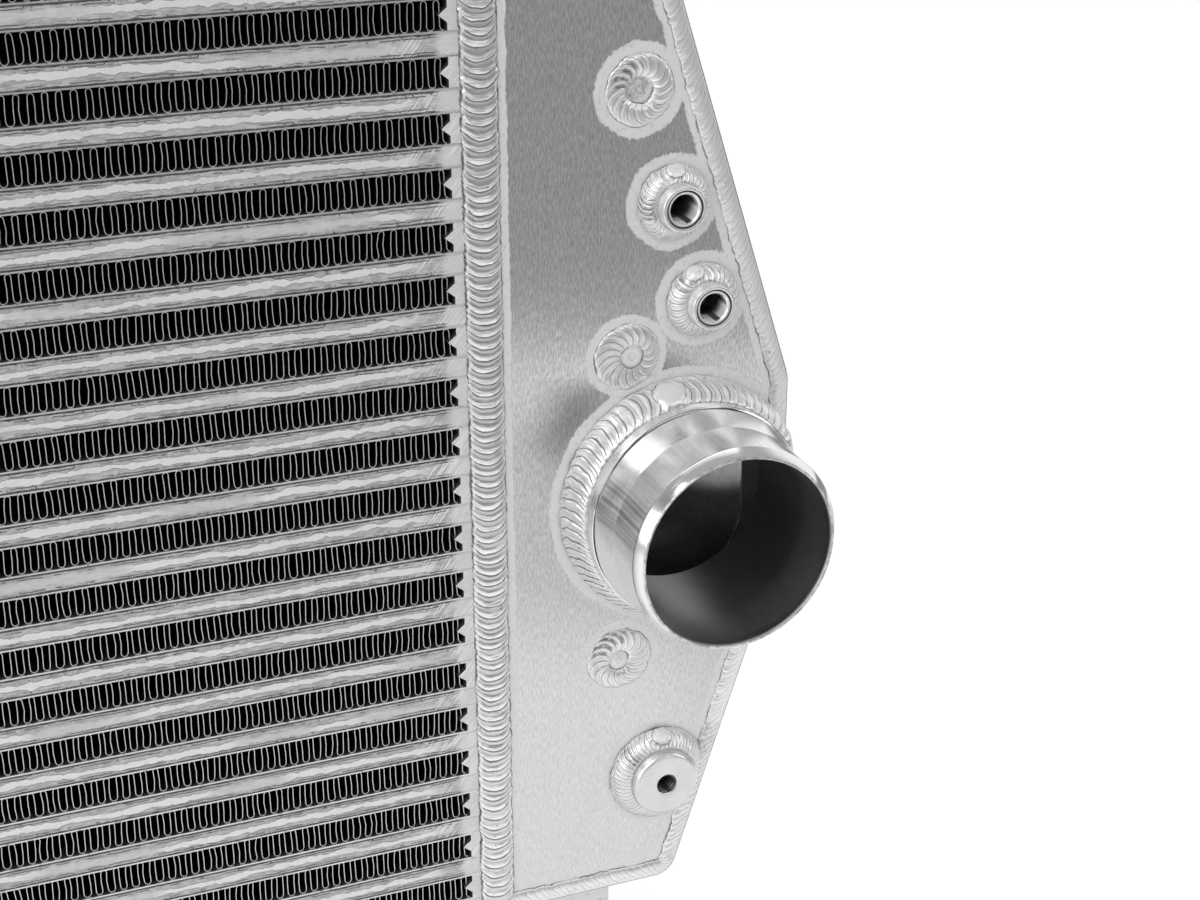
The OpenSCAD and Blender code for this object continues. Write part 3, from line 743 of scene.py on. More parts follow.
def barFinish():
    finish = Finish("sandedBar", Metallic=barLook["metal"])
    x, y = finish.across("X"), finish.across("Y")
    up = finish.across("Z") - coreLow - core["plate"]
    row = up / core["rowPitch"]
    row = row.math("FLOOR", row)
    inBar = up - row * core["rowPitch"] - core["barHeight"] / 2
    offMiddle = inBar.absolute()
    fromEnd = coreEnd - x.absolute()

    def wander(scale, shift, detail=2.0):        # noise along a bar, another in each row
        spot = finish.xyz(X=x * (scale * mm), Y=row * 7.31 + shift, Z=y * (9.0 * mm))
        return finish.noise(spot, 1.0, detail, 0.55)

    centre = (wander(24.0, 1.0) - 0.5) * 4.2 + (wander(160.0, 5.0) - 0.5) * 1.8
    half = 0.25 + wander(40.0, 2.0) * 1.3 + (wander(300.0, 3.0, 3.0) - 0.5) * 2.2
    inside = half - (inBar - centre).absolute()
    between = fromEnd.ramp(15.0, 24.0) * offMiddle.ramp(2.9, 2.5)
    kept = wander(13.0, 31.0).ramp(0.39, 0.45)
    streak = inside.ramp(-0.03, 0.08) * between * kept
    # painted highlight: a soft pale haze where the streak breaks off
    haze = inside.ramp(-1.1, 0.4) * between * (1 - kept)
    border = inside.band(-0.42, -0.22, -0.16, 0.0) * between * kept
    pale = (fromEnd + (wander(500.0, 9.0) - 0.5) * 2.0).fall(10.0, 14.0)
    edge = offMiddle + (wander(340.0, 11.0, 4.0) - 0.5) * 0.9
    seam = edge.ramp(2.46, 2.75) * offMiddle.fall(3.22, 3.3) * (1 - pale * 0.8)
    crack = (edge - 2.0 + (wander(30.0, 14.0) - 0.5)).absolute().fall(0.10, 0.28)
    crack = crack * wander(120.0, 17.0, 4.0).ramp(0.44, 0.52) * (1 - pale)
    dirt = finish.grain((420, 420, 900), 4)
    specks = finish.grain((800, 700, 1300), 2, (5, 2, 8)).ramp(0.61, 0.67)
    specks = specks * offMiddle.ramp(1.0, 2.2) * (1 - streak) * (1 - pale)
    # painted shade: the noses' sides are painted almost black
    shut = finish.facing("Y").fall(0.4, 0.6)     # the noses' sides, which lie in the dark
    grain = finish.grain((240, 300, 2000), 4)
    slant = finish.grain((2400, 2400, 110), 2, turn=(0, math.radians(-38), 0))
    sanded = fromEnd.fall(15.0, 32.0) * finish.grain(60).ramp(0.38, 0.56)
    masks = {
        "haze": haze * 0.6, "border": border * dirt.ramp(0.3, 0.7) * 0.8,
        "streak": streak * (0.62 + dirt * 0.4 + wander(60.0, 21.0) * 0.1), "pale": pale * 0.75,
        "sanded": sanded * slant.ramp(0.48, 0.60), "specks": specks * 0.85,
        "crack": crack * 0.8, "seam": seam * (0.5 + dirt * 0.8), "shut": shut * 0.9,
    }
    colour = finish.shade((grain * 0.55 + dirt * 0.45).ramp(0.34, 0.66), barLook["dark"],
                          barLook["bright"])
    colour = finish.coats(colour, *((mask, barLook[key]) for key, mask in masks.items()))
    relief = grain * 0.6 + slant * sanded * 0.6 + streak * 0.4 - seam * 0.8
    return finish.done(Base_Color=colour, Normal=finish.bump(relief, 0.10, 0.7),
                       Roughness=barLook["rough"] - streak * 0.06 + (grain - 0.5) * 0.15)


def plateFinish(name, shade):
    finish = Finish(name, Metallic=1.0)
    grain = finish.grain((30, 300, 1500))
    cloud = finish.grain(18)
    spots = finish.grain(420, 4).ramp(0.60, 0.68)
    colour = finish.shade((grain * 0.5 + cloud * 0.5).ramp(0.35, 0.65), shade * 0.84, shade)
    return finish.done(Base_Color=finish.coats(colour, (spots * 0.6, 0.2)),
                       Roughness=0.34 + cloud * 0.14, Normal=finish.bump(grain, 0.05, 0.5))


# Fins: bright where the sheet was cut, in front and behind, and painted dark along their sides as
# shade, darkest deep inside the core
def finFinish():
    finish = Finish("coolingFin", Metallic=1.0)
    cut = finish.facing("Y").ramp(0.6, 0.8)
    burr = finish.grain(300)
    depth = (finish.across("Y") - frontY - coreDepth / 2).absolute().ramp(36.0, 43.7)
    # painted shade: the sides are near black, darkest deep inside the core
    colour = finish.coats(finish.shade(depth * burr.ramp(0.3, 0.6), 0.03, 0.20),
                          (cut * (0.75 + burr * 0.25), 0.88))
    return finish.done(Base_Color=colour, Roughness=0.38 + burr * 0.12)


def innerFinFinish():
    finish = Finish("innerFin", Metallic=1.0)
    cloud = finish.grain(90)
    return finish.done(Base_Color=finish.shade(cloud, 0.30, 0.45), Roughness=0.4 + cloud * 0.1)


def near(node, *patches):                        # patches as right, up and radius
    at = middle(node)
    return [(at.x + right, at.z + up, radius) for right, up, radius in patches]


coreWeldMetal = weldFinish("coreWeldMetal", metal=0.85, body=0.80, line=0.10, dark=0.66,
                           depth=0.40)
neckWeldMetal = weldFinish("neckWeldMetal", metal=0.82, body=0.97, line=0.20, dark=0.74,
                           depth=0.35, heel=0.4)
filletWeldMetal = weldFinish(
    "filletWeldMetal", metal=0.60, body=0.97, line=0.20, dark=0.78, depth=0.30, toe=0.07,
    heel=0.4, crevice=0.04, stains=near("upper_port", (-9.8, 0.8, 3.6), (-8.8, -2.6, 2.4))
    + near("lower_port", (-7.6, 6.6, 3.2)) + near("mounting_boss", (-10.6, 9.6, 3.8)))
# its patch by the mounting boss makes the bead darker at the lower right, between the ripples
edgeWeldMetal = weldFinish(
    "edgeWeldMetal", metal=0.65, body=0.96, line=0.55, dark=0.80, depth=0.10, toe=0.12,
    gleam=0.8, outer=0.9, stains=near("mounting_boss", (6, -10, 38)), soil=0.42)
plugWeldMetal = weldFinish(
    "plugWeldMetal", metal=0.66, body=0.94, line=0.32, dark=0.80, depth=0.20, coil=0.4,
    stains=near("top_stay", (-6.2, 2.8, 3.4), (-3.8, 5.8, 3.4))
    + near("bottom_stay", (-7.0, 4.2, 3.6), (-3.8, 6.8, 4.2), (0.0, 7.6, 3.2)),
    hollows=near("top_stay", (-0.8, 0.5, 4.2)))
finSheet = finFinish()
footMetal = plateFinish("bentPlate", 0.78)
print("finishes made")

paintNodes(barFinish(), "front_bars", "rear_bars", "left_end_bars", "right_end_bars")
paintNodes(plateFinish("rolledPlate", 0.80), "top_plate", "bottom_plate")
paintNodes(plateFinish("partingPlate", 0.86), "parting_plates")
paintNodes(innerFinFinish(), "inner_fins")
paintNodes(rodFinish(), "top_stay", "middle_stay", "bottom_stay")


# Cooling fins, at the real pitch. The piece starts as one wave of the bent sheet, and the
# tree sets the waves in rows, leans and bows them, draws them back and thickens them
coolingFin = {
    "pitch": 3.71,
    "thickness": 0.24,
    "height": 8.62,
    "overlap": 1.7,                              # the last legs stand at the bars' noses
    "lean": 2.2,
    "bow": 2.6,
    "kink": 0.3,
}


def finTree():
    board, ports = newTree("finRows", (
        "Pitch", "Waves", "Row Pitch", "Rows", "Depth", "Thickness", "Height", "Middle",
        "Lean", "Bow", "Kink"))

    def rows(shape, count, step, axis):
        line = board.node("GeometryNodeMeshLine", None, {
            "Count": count, "Offset": board.xyz(**{axis: step})})
        placed = board.node("GeometryNodeInstanceOnPoints", None, {
            "Points": line, "Instance": shape})
        real = board.node("GeometryNodeRealizeInstances", None, {"Geometry": placed})
        return board.merged(real, 0.02)

    def noise(scale, shift):
        place = board.vector("MULTIPLY", board.node("GeometryNodeInputPosition"), scale)
        return board.noise(board.vector("ADD", place, shift)) - 0.5

    one = rows(ports["Geometry"], ports["Waves"], ports["Pitch"], "X")
    up = board.part(board.node("GeometryNodeInputPosition"), "Z")
    one = board.store(one, "rise", (up - ports["Middle"]) / ports["Height"])
    many = rows(one, ports["Rows"], ports["Row Pitch"], "Z")
    rise = board.fact("rise")
    # The noise is the same over one wave's height but differs from row to row
    belly = 1 - 4 * rise * rise
    lean = noise((55, 0, 60), (3, 0, 0)) * rise * ports["Lean"]
    bow = noise((140, 0, 60), (9, 0, 4)) * belly * ports["Bow"]
    kink = noise((900, 0, 900), (5, 0, 1)) * belly * ports["Kink"]
    shifted = board.moved(many, board.xyz(X=lean + bow + kink))
    drawn = board.node("GeometryNodeExtrudeMesh", {"mode": "EDGES"}, {
        "Mesh": shifted, "Offset": board.xyz(Y=ports["Depth"]), "Offset Scale": 1.0})
    thick = board.node("GeometryNodeExtrudeMesh", {"mode": "FACES"}, {
        "Mesh": drawn, "Offset Scale": ports["Thickness"], "Individual": False})
    under = board.node("GeometryNodeFlipFaces", None, {"Mesh": drawn})
    both = board.tree.nodes.new("GeometryNodeJoinGeometry")
    for skin in (thick, under):
        board.tree.links.new(skin.socket, both.inputs[0])
    return closeTree(board, board.merged(Wire(board, both.outputs[0]), 0.01), ports)


def oneWave(startX, y, middleZ):                 # half circles joined by upright legs
    r = coolingFin["pitch"] / 4
    centre = (coolingFin["height"] - coolingFin["thickness"]) / 2 - r
    path = [*arc(0, -centre, r, -90, 90, 2), (r, 0), *arc(2 * r, centre, r, 180, -180, 4),
            (3 * r, 0), *arc(4 * r, -centre, r, 180, 90, 2)]
    return [(startX + px, y, middleZ + pz) for px, pz in path]


def coolingFins():
    tree = finTree()
    low, high = (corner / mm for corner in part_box("cooling_fin_01"))
    start = low.x - coolingFin["overlap"]
    length = high.x + coolingFin["overlap"] - start
    waves = round(length / coolingFin["pitch"])
    sizes = {"Pitch": length / waves, "Row Pitch": core["rowPitch"], "Depth": high.y - low.y,
             **{key.title(): coolingFin[key]
                for key in ("thickness", "height", "lean", "bow", "kink")}}
    names = sorted(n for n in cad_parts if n.startswith("cooling_fin"))
    half = len(names) // 2
    for part, group in (("low", names[:half]), ("high", names[half:])):
        sizes["Middle"] = middle(group[0]).z
        points = oneWave(start, low.y, sizes["Middle"])
        mesh = newMesh("wave", points, edges=[(i, i + 1) for i in range(len(points) - 1)])
        piece = growPiece(newObject("coolingFins_" + part, mesh), tree, {
            **{key: value * mm for key, value in sizes.items()},
            "Waves": waves, "Rows": len(group)}, finSheet)
        smooth(piece.data, 50)
        standFor(piece, "fin", *group)
        print(piece.name, len(piece.data.polygons), "faces")


coolingFins()


def rearAt(distance, inset):
    return min(coreDepth - inset,
               coreDepth - (distance - tank["flat"]) * slope - inset * slopeLength)


def outline(straight, bend):                     # stations: distance, height, normal's angle
    corners, radii = tank["corners"], tank["bends"]
    stations = []

    def facing(i):
        (x0, z0), (x1, z1) = corners[i], corners[i + 1]
        return math.atan2(-(x1 - x0), z1 - z0)

    def run(a, b, angle):
        count = max(1, int(math.dist(a, b) / straight))
        for k in range(count + 1):
            stations.append((a[0] + (b[0] - a[0]) * k / count,
                             a[1] + (b[1] - a[1]) * k / count, angle))

    at = (tank["beadStart"], 0)
    for i in range(1, 5):
        before, after = facing(i - 1), facing(i)
        n = Vector((math.cos(before), math.sin(before)))
        m = Vector((math.cos(after), math.sin(after)))
        centre = Vector(corners[i]) - (n + m) * radii[i] / (1 + n.dot(m))
        run(at, tuple(centre + n * radii[i]), before)
        count = max(2, int(abs(after - before) * radii[i] / bend))
        for k in range(1, count):
            angle = before + (after - before) * k / count
            stations.append((centre.x + radii[i] * math.cos(angle),
                             centre.y + radii[i] * math.sin(angle), angle))
        at = tuple(centre + m * radii[i])
    run(at, (tank["beadStart"], corners[5][1]), facing(4))
    return stations


def tankPoint(side, distance, depth, height):
    return Vector((side * (coreEnd + distance), frontY + depth, coreLow + height))


# Bent strip that makes the tank's top, side and bottom
def tankWrap(word, material):
    points, faces = [], []
    sheet = tank["sheet"]
    stations = outline(400, 0.8)
    stations[0] = (0, 0, stations[0][2])
    stations[-1] = (0, stations[-1][1], stations[-1][2])
    for distance, height, angle in stations:
        for out in (0, -sheet):
            x = distance + out * math.cos(angle)
            z = height + out * math.sin(angle)
            for depth in (sheet, rearAt(x, sheet)):
                points.append(tankPoint(sides[word], x, depth, z))
    for i in range(len(stations) - 1):
        a, b = 4 * i, 4 * i + 4
        for j, k in ((0, 1), (1, 3), (3, 2), (2, 0)):
            faces.append((a + j, a + k, b + k, b + j))
    end = 4 * len(stations) - 4
    faces += [(0, 2, 3, 1), (end, end + 1, end + 3, end + 2)]
    node = word + "_wrap"
    standFor(meshObject(camel(node), points, faces, material, merge=0.002), "tank_sheet", node)


# Bead along the edge of a tank's front or rear sheet. Its section goes round the corner, with
# so many columns on the sheet and so many on the tank's side
edgeBead = {"width": 6.6, "height": 1.15, "outwards": 0.3, "lap": 2.0, "corner": 0.35,
            "onSheet": 9, "onSide": 5, "Pitch": 2.3, "Sag": 1.6, "Slant": -4.2, "Depth": 0.04,
            "Wobble": 1.7, "Dome": 0}


def edgeWeld(word, face, step):
    side, rear = sides[word], face == "rear"
    lap, corner = tank["sheet"] + edgeBead["lap"], edgeBead["corner"]
    rows = []
    along = 0.0
    before = None
    for distance, height, angle in outline(step, step):
        if before:
            along += math.dist(before, (distance, height))
        before = (distance, height)
        columns = []
        wide = edgeBead["width"] + ragged(Vector((distance, side * 9, height)), 0.55)

        def place(out, depth, way, across, crown):
            x = distance + out * math.cos(angle)
            z = height + out * math.sin(angle)
            y = rearAt(x, depth) if rear else depth
            nx, nz = way[0] * math.cos(angle), way[0] * math.sin(angle)
            ny = way[1] if rear else -way[1]
            if rear and x > tank["flat"]:
                nx, ny = nx + way[1] * slope / slopeLength, ny / slopeLength
            columns.append((tankPoint(side, x, y, z), (side * nx, ny, nz), across, crown, 0.0))

        for j in range(edgeBead["onSheet"] + 1):
            u = j / edgeBead["onSheet"]
            crown = edgeBead["height"] * max(0, math.sin(math.pi * (0.02 + 0.86 * u))) ** 0.8
            place(-wide + (wide - 0.4) * u, 0.0, (0, 1), -1 + 1.5 * u, crown)
        for j in range(1, edgeBead["onSide"] + 1):
            u = j / edgeBead["onSide"]
            tip = math.pi / 2 * min(1, u * 1.6)
            crown = edgeBead["outwards"] * math.sin(math.pi * (0.25 + 0.72 * u)) ** 0.7
            place(0.0, corner + (lap - corner) * u, (math.sin(tip), math.cos(tip)),
                  0.5 + 0.5 * u, crown)
        place(-0.5, lap, (1, 0), 1.0, 0.0)
        place(-wide, 0.5, (0, 1), -1.0, 0.0)
        rows.append((along, columns))
    node = f"{word}_{face}_edge_weld"
    piece = layBead(camel(node), rows, False, edgeWeldMetal, (side > 0) == rear)
    standFor(ripple(piece, edgeBead, side + 3 * rear), "weld", node)


# Bead round the joint between core and tank
coreBead = {"width": 11.6, "height": 2.15, "Pitch": 3.75, "Sag": 3.2, "Slant": 0,
            "Depth": 0.34, "Wobble": 0.5, "Dome": 0}


def coreWeld(word, step):
    side = sides[word]
    half = coreBead["width"] / 2
    corners = [(0, 0), (0, coreHeight), (coreDepth, coreHeight), (coreDepth, 0), (0, 0)]
    rows = []
    along = 0.0
    for a, b, angle in zip(corners, corners[1:], (-180, 90, 0, -90)):
        length = math.dist(a, b)
        count = int(length / step)
        stops = [(k / count, angle) for k in range(count + 1)]
        stops += [(1.0, angle - 15 * k) for k in range(1, 6)]
        for t, way in stops:
            y, z = a[0] + (b[0] - a[0]) * t, a[1] + (b[1] - a[1]) * t
            out = Vector((0, math.cos(math.radians(way)), math.sin(math.radians(way))))
            here = Vector((side * 9, y, z))
            toe = tankPoint(side, -half - ragged(here, 0.4), y, z)
            heel = tankPoint(side, half + ragged(here + Vector((40, 0, 0)), 0.4), y, z)
            rows.append((along, beadColumns(toe, heel, out, coreBead["height"], 18, 0.6)))
            along += length / count if t < 1 else 0.4
    node = word + "_core_weld"
    piece = layBead(camel(node), rows, True, coreWeldMetal, side < 0)
    standFor(ripple(piece, coreBead, side + 5), "weld", node)


# A turned fitting on the front sheet, and the bead round it
def fitting(node, slot, sizes, metal, weldNode, weldMetal, seed, blob, limit=None):
    spot = frontSpot(node)
    standFor(turned(camel(node), spot, sizes, metal), slot, node)
    bead = roundBead(camel(weldNode), spot, sizes, weldMetal, seed, blob, limit)
    standFor(bead, "weld", weldNode)


# Hose neck: root ring, groove, taper, straight band and bevelled mouth
neck = {
    "profile": [(33, -4), (33, 0.1), (36, 0.1), (36, 15.5), (35.88, 15.9), (35.6, 16.1),
                (34.3, 16.1), (34.1, 16.2), (34.1, 17.1), (34.2, 17.2), (35.3, 17.2),
                (35.5, 17.4), (33.8, 26.9), (33.65, 27.6), (33.6, 28.2), (33.6, 42.4),
                (33.55, 42.8), (33.4, 43.1), (31.5, 46.3), (31.35, 46.48), (31.2, 46.5),
                (31.0, 46.5), (30.85, 46.42), (30.45, 45.7), (30.4, 45.4), (30.4, -4)],
    "segments": 256, "sharp": 25,
    "radius": 36, "weldToe": 40.7, "weldRise": 12.0, "crown": 1.9, "step": 0.26, "inset": 0.9,
    "weld": {"Pitch": 3.3, "Sag": 3.0, "Slant": 0, "Sweep": 1.8, "Depth": 0.32,
             "Wobble": 0.8, "Dome": 1.0},
    "blob": (0.029, 5.5, 0.2),
}


def tankNeck(word):
    node, side = word + "_neck", sides[word]
    spot = frontSpot(node)
    edge = abs(coreEnd + tankWide - abs(spot.origin.x)) - neck["inset"]

    def limit(angle):                            # the weld ends at the tank's edge
        reach = math.cos(angle) * side
        return edge / reach if reach > 0.1 else 99

    fitting(node, "neck", neck, neckFinish(camel(node) + "Polish", spot), node + "_weld",
            neckWeldMetal, side + 8, neck["blob"], limit)


# Port: a turned boss with a thread in its bore and a groove in its face
port = {
    "profile": [(4.3, -5), (7.15, -5), (7.15, 8.95), (7.08, 9.25), (6.9, 9.45), (6.7, 9.5),
                (6.05, 9.5), (5.97, 9.44), (5.93, 9.3), (5.92, 8.7), (5.85, 8.6), (5.5, 8.6),
                (5.44, 8.7), (5.42, 9.1), (5.36, 9.18), (5.0, 9.18), (4.85, 9.1), (4.6, 8.75),
                "thread", (4.42, -5)],
    "thread": (8.5, -4.8, 0.94, 0.16), "segments": 96, "sharp": 40,
    "look": {"bore": 4.72, "mouth": 8.7, "ring": (5.42, 5.94), "lit": 1.0, "crest": 4.32,
             "shade": 1.0},
    "radius": 7.15, "weldToe": 12.1, "weldRise": 5.3, "crown": 1.35, "step": 0.24,
    "weld": {"Sag": 1.9, "Slant": -0.2, "Sweep": 2.0, "Bent": 2.1, "Depth": 0.12,
             "Wobble": 0.8, "Dome": 0.7},
}


def tankPort(node, seed, pitch):
    metal = boredFinish(camel(node) + "Metal", frontSpot(node), port["look"])
    sizes = {**port, "weld": {**port["weld"], "Pitch": pitch}}
    fitting(node, "fitting", sizes, metal, node + "_weld", filletWeldMetal, seed,
            (0.05 * seed - 0.04, 3.0, -0.1))


# Boss. The ring of its look lies beyond its edge, as its face has none
boss = {
    "profile": [(0, -11), (11.4, -11), (11.4, 8.2), (11.3, 8.4), (10.55, 9.15), (10.35, 9.28),
                (10.2, 9.3), (3.9, 9.3), (3.75, 9.25), (3.45, 8.95), "thread", (3.25, -5.6),
                (0, -6.2)],
    "thread": (8.9, -5.5, 1.25, 0.2), "segments": 128, "sharp": 35,
    "look": {"bore": 3.5, "mouth": 9.1, "ring": (98, 99), "lit": 0.08, "crest": 3.12,
             "shade": 0.80},
    "radius": 11.4, "weldToe": 17.1, "weldRise": 6.3, "crown": 1.6, "step": 0.26,
    "weld": {"Pitch": 1.5, "Sag": 2.0, "Slant": -0.9, "Sweep": 2.0, "Bent": 1.7, "Depth": 0.10,
             "Wobble": 0.8, "Dome": 0.7},
    "blob": (-0.002, 3.4, -0.1),
}


def tankBoss():
    spot = frontSpot("mounting_boss")
    here = spot.origin.x - coreEnd, spot.origin.z - coreLow
    (ax, az), (bx, bz) = tank["corners"][1:3]
    away = Vector((bz - az, ax - bx)).normalized()
    room = away.dot(Vector((bx - here[0], bz - here[1]))) - edgeBead["width"] + 1.2

    def limit(angle):                            # the weld ends on the bead at the edge
        reach = away.x * math.cos(angle) + away.y * math.sin(angle)
        return max(12.6, room / reach) if reach > 0.1 else 99

    fitting("mounting_boss", "fitting", boss, boredFinish("bossMetal", spot, boss["look"]),
            "boss_weld", filletWeldMetal, 21, boss["blob"], limit)


# Plug weld: a coil of curved ripples round a small disc, whose profile is radius and height
plugBead = {"Pitch": 3.0, "Sag": 2.4, "Slant": -2.2, "Depth": 0.16, "Wobble": 0.4, "Dome": 0,
            "steps": 160, "rings": 11}
plugs = [
    {"stay": "top_stay", "radius": 11.2, "height": 1.1, "disc": 4.1, "aside": (0.0, 0.0),
     "profile": [(0, -0.2), (1.4, -0.25), (2.6, -0.45), (3.6, -0.45)]},
    {"stay": "middle_stay", "radius": 11.0, "height": 1.15, "disc": 3.6, "aside": (1.5, -0.2),
     "profile": [(0, 0.1), (0.5, 0.3), (1.5, 0.5), (3.1, 0.45)]},
    {"stay": "bottom_stay", "radius": 11.2, "height": 0.8, "disc": 3.2, "aside": (-0.1, -0.9),
     "profile": [(0, 0.2), (0.9, 0.15), (2.2, -0.3), (3.0, -0.4)]},
]


def plugWeld(spot, sizes, seed):
    steps, rings = plugBead["steps"], plugBead["rings"]
    spokes = round(2 * math.pi * 8 / plugBead["Pitch"])
    inner = Vector(sizes["aside"])
    rows = []
    for i in range(steps):
        angle = 2 * math.pi * i / steps
        way = Vector((math.cos(angle), math.sin(angle)))
        radius = sizes["radius"] * (0.985 + 0.022 * math.sin(2 * angle + seed))
        radius += ragged(spot.point(angle, sizes["radius"], 0), 0.4)
        disc = sizes["disc"] + ragged(spot.point(angle, sizes["disc"], 0), 0.3)
        columns = []

        def place(flat, high, across, crown, blob):
            point = spot.origin + spot.right * flat.x + spot.up * flat.y + spot.out * high
            columns.append((point, spot.out, across, crown, blob))

        for part, high in sizes["profile"]:
            place(inner + way * part, high, 0.0, 0.0, 1 - 0.8 * part / sizes["disc"])
        for j in range(rings + 1):
            u = -1 + 2 * j / rings
            base = sizes["profile"][-1][1] * (1 - smoothStep(-1, -0.4, u))
            place((inner + way * disc).lerp(way * radius, (u + 1) / 2),
                  base, u, crownAt(u, sizes["height"]), 0.0)
        place(way * radius, -1, 1.0, 0.0, 0.0)
        place(inner, -1, 0.0, 0.0, 0.0)
        rows.append((i / steps * spokes * plugBead["Pitch"], columns))
    piece = layBead("plug", rows, True, plugWeldMetal)
    mend(piece.data, 0.005)
    return ripple(piece, plugBead, seed)


def joined(name, pieces):                        # several meshes as one piece
    work = bmesh.new()
    for piece in pieces:
        work.from_mesh(piece.data)
    mesh = bpy.data.meshes.new(name)
    work.to_mesh(mesh)
    work.free()
    mesh.materials.append(pieces[0].data.materials[0])
    for piece in pieces:
        bpy.data.objects.remove(piece)
    return newObject(name, mesh)


def plugWelds():
    front, rear = [], []
    away = (slope / slopeLength, 1 / slopeLength, 0)
    for k, sizes in enumerate(plugs):
        spot = frontSpot(sizes["stay"])
        front.append(plugWeld(spot, sizes, 31 + k))
        backY = frontY + rearAt(spot.origin.x - coreEnd, 0)
        behind = Spot((spot.origin.x, backY, spot.origin.z), (away[1], -away[0], 0), (0, 0, 1),
                      away)
        rear.append(plugWeld(behind, sizes, 41 + k))
    standFor(joined("frontPlugWelds", front), "weld", "front_plug_welds")
    standFor(joined("rearPlugWelds", rear), "weld", "rear_plug_welds")


# Foot: one bent plate, and a fillet on each side of its web
foot = {"plate": 5.0, "bend": 4.0, "edge": 0.5, "fillet": 3.0, "crown": 0.7, "step": 0.35,
        "weld": {"Pitch": 2.6, "Sag": 1.6, "Slant": 0, "Depth": 0.12, "Wobble": 0.8, "Dome": 0}}


def tankFoot(word):
    node = word + "_foot"
    low, high = (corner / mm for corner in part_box(node))
    plate, fillet, outer = foot["plate"], foot["fillet"], foot["bend"] + foot["plate"]
    centre = (low.y + outer, low.z + outer)
    section = [(low.y, high.z), *arc(*centre, outer, 180, 90, 12), (high.y, low.z),
               (high.y, low.z + plate), *arc(*centre, foot["bend"], 270, -90, 12),
               (low.y + plate, high.z)]
    count = len(section)
    points = [(x, y, z) for x in (low.x, high.x) for y, z in section]
    faces = [(k, (k + 1) % count, (k + 1) % count + count, k + count) for k in range(count)]
    faces += [tuple(range(count)), tuple(range(2 * count - 1, count - 1, -1))]
    piece = meshObject(camel(node), points, faces, footMetal, merge=0.002)
    edge = piece.modifiers.new("edge", "BEVEL")
    edge.width = foot["edge"] * mm
    edge.segments = 2
    edge.limit_method = "ANGLE"
    edge.angle_limit = math.radians(50)
    standFor(piece, "foot", node)
    beads = []
    for front, y in ((-1, low.y), (1, low.y + plate)):
        rows = []
        steps = int((high.x - low.x) / foot["step"])
        out = Vector((0, front, -1)).normalized()
        for k in range(steps + 1):
            x = low.x + (high.x - low.x) * k / steps
            toe = Vector((x, y + front * fillet, high.z - 0.02))
            heel = Vector((x, y, high.z - fillet))
            rows.append((x - low.x, beadColumns(toe, heel, out, foot["crown"], 8, 0.8)))
        bead = layBead("bead", rows, False, filletWeldMetal, front < 0)
        beads.append(ripple(bead, foot["weld"], sides[word] + 50))
    standFor(joined(camel(node) + "Welds", beads), "weld", node + "_welds")


# Pale rings on the front sheets, as the piece's node, the weld's radius and how far they reach
paleRings = {
    "right": [("right_neck", 41.0, 3.0), ("upper_port", 12.2, 3.0), ("lower_port", 12.4, 3.2),
              ("mounting_boss", 17.3, 2.6), ("top_stay", 11.2, 3.4),
              ("middle_stay", 11.0, 2.6), ("bottom_stay", 11.2, 2.8)],
    "left": [("left_neck", 41.0, 3.0)],
}
# Steps along the edge welds in front and behind, and along the core welds
edgeSteps = {"right": {"front": 0.34, "rear": 0.5}, "left": {"front": 0.45, "rear": 0.6}}
coreSteps = {"right": 0.38, "left": 0.5}

plainSheet = sheetFinish("brushedSheet", [], 1)
paintNodes(plainSheet, "right_rear_sheet", "left_rear_sheet")
for word, side in sides.items():
    rings = [(middle(node).x, middle(node).z, *sizes) for node, *sizes in paleRings[word]]
    paintNodes(sheetFinish("brushedFront" + word.title(), rings, side), word + "_front_sheet")
    tankWrap(word, plainSheet)
for word in sides:
    tankNeck(word)
tankPort("upper_port", 1, 1.5)
tankPort("lower_port", 2, 2.1)
tankBoss()
plugWelds()
print("fittings made")
for word, steps in edgeSteps.items():
    for face, step in steps.items():
        edgeWeld(word, face, step)
for word, step in coreSteps.items():
    coreWeld(word, step)
for word in sides:
    tankFoot(word)
print("welds and feet made")


# Studio: a sheet of white paper on a grey floor, a white backdrop behind the part, a dim
# room on the camera's side with a window on the left, and soft lights. The paper has a duller
# stretch across it, from and to two distances. The camera sees white all round
studio = {
    "paper": 0.97, "floor": 0.215, "edge": (630, 665), "dull": (270, 380, 500, 580),
    "dullness": 0.36, "glow": 1.1, "reach": 6000,
    "backdrop": 0.95, "room": 0.12, "ceiling": 0.42, "window": 0.75,
    "lights": [                                  # place, aim, width, height and power
        ("key", (-900, -1100, 1700), (250, 0, 150), 1100, 1100, 9.0),
        ("front", (900, -1900, 1300), (250, 0, 200), 1800, 1000, 6.5),
        ("left", (-1500, -600, 500), (300, 0, 170), 1400, 1000, 5.2),
        ("side", (1900, -700, 900), (200, 0, 200), 400, 1400, 4.0),
        ("top", (200, 400, 2000), (200, 0, 100), 1800, 800, 5.0),
    ],
}


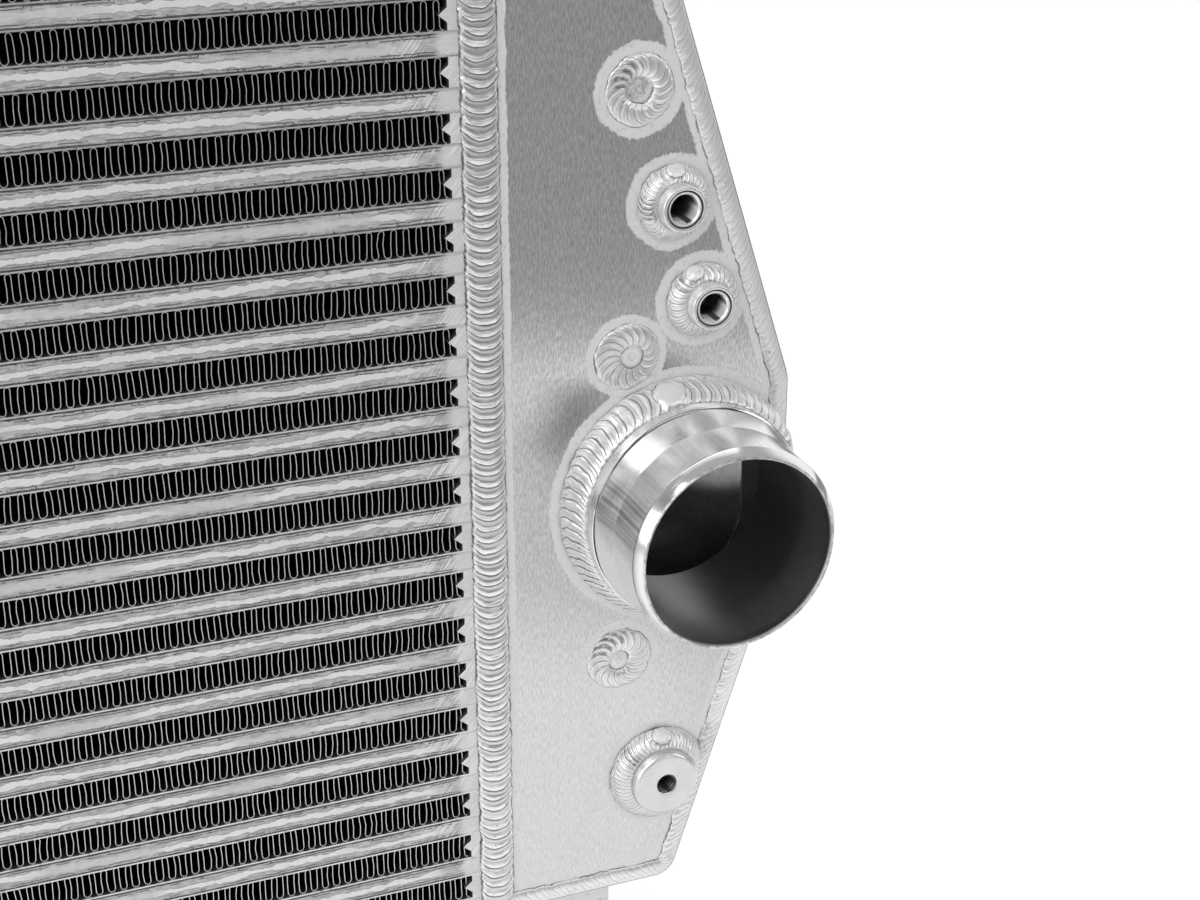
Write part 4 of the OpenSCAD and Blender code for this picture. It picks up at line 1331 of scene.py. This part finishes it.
def makeFloor():
    finish = Finish("floor", Roughness=0.9, Base_Color=(0.78, 0.78, 0.78, 1))
    away = (finish.across("X") * 0.6).hypot(finish.across("Y"))
    dull = away.band(*studio["dull"]) * studio["dullness"]
    shade = finish.shade(dull, studio["paper"], 0.0)
    shade = finish.shade(away.ramp(*studio["edge"]), shade, studio["floor"])
    seen = finish.node("ShaderNodeLightPath", output="Is Camera Ray")
    mirrored = finish.node("ShaderNodeLightPath", output="Is Glossy Ray")
    glow = finish.node("ShaderNodeEmission", None, {
        "Color": finish.shade(seen, shade, 1.0), "Strength": studio["glow"]})
    both = finish.node("ShaderNodeMixShader", None, {
        0: seen.larger(mirrored) * 0.85, 1: Wire(finish, finish.shader.outputs[0]), 2: glow})
    finish.plug(finish.tree.nodes["Material Output"].inputs[0], both)
    r = studio["reach"]
    sheet = newMesh("floor", [(-r, -r, 0), (r, -r, 0), (r, r, 0), (-r, r, 0)], [(0, 1, 2, 3)])
    sheet.materials.append(finish.material)
    floor = newObject("floor", sheet)


def makeLights():
    for name, place, aim, wide, high, power in studio["lights"]:
        data = bpy.data.lights.new(name, "AREA")
        data.shape = "RECTANGLE"
        data.size, data.size_y, data.energy = wide * mm, high * mm, power
        lamp = newObject(name, data)
        lamp.location = Vector(place) * mm
        lamp.rotation_mode = "QUATERNION"
        lamp.rotation_quaternion = (Vector(aim) - Vector(place)).to_track_quat("-Z", "Y")


def makeWorld():
    world = bpy.data.worlds.new("studio")
    bpy.context.scene.world = world
    world.use_nodes = True
    air = Board(world.node_tree)
    seen = air.node("ShaderNodeLightPath", output="Is Camera Ray")
    way = air.node("ShaderNodeTexCoord", output="Generated")
    right, back, up = (air.part(way, axis) for axis in "XYZ")
    window = right.fall(-0.65, -0.25) * up.fall(0.35, 0.6)
    behind = back.ramp(-0.05, 0.25) * up.fall(0.55, 0.8)
    shade = studio["room"] + up.ramp(0.25, 0.9) * (studio["ceiling"] - studio["room"])
    shade = shade + window * (studio["window"] - shade)
    shade = shade + behind * (studio["backdrop"] - shade)
    sky = world.node_tree.nodes["Background"]
    sky.inputs["Color"].default_value = (1, 1, 1, 1)
    air.plug(sky.inputs["Strength"], shade.larger(seen))
    bpy.context.scene.view_settings.view_transform = "Standard"


makeFloor()
makeLights()
makeWorld()
print("studio made")
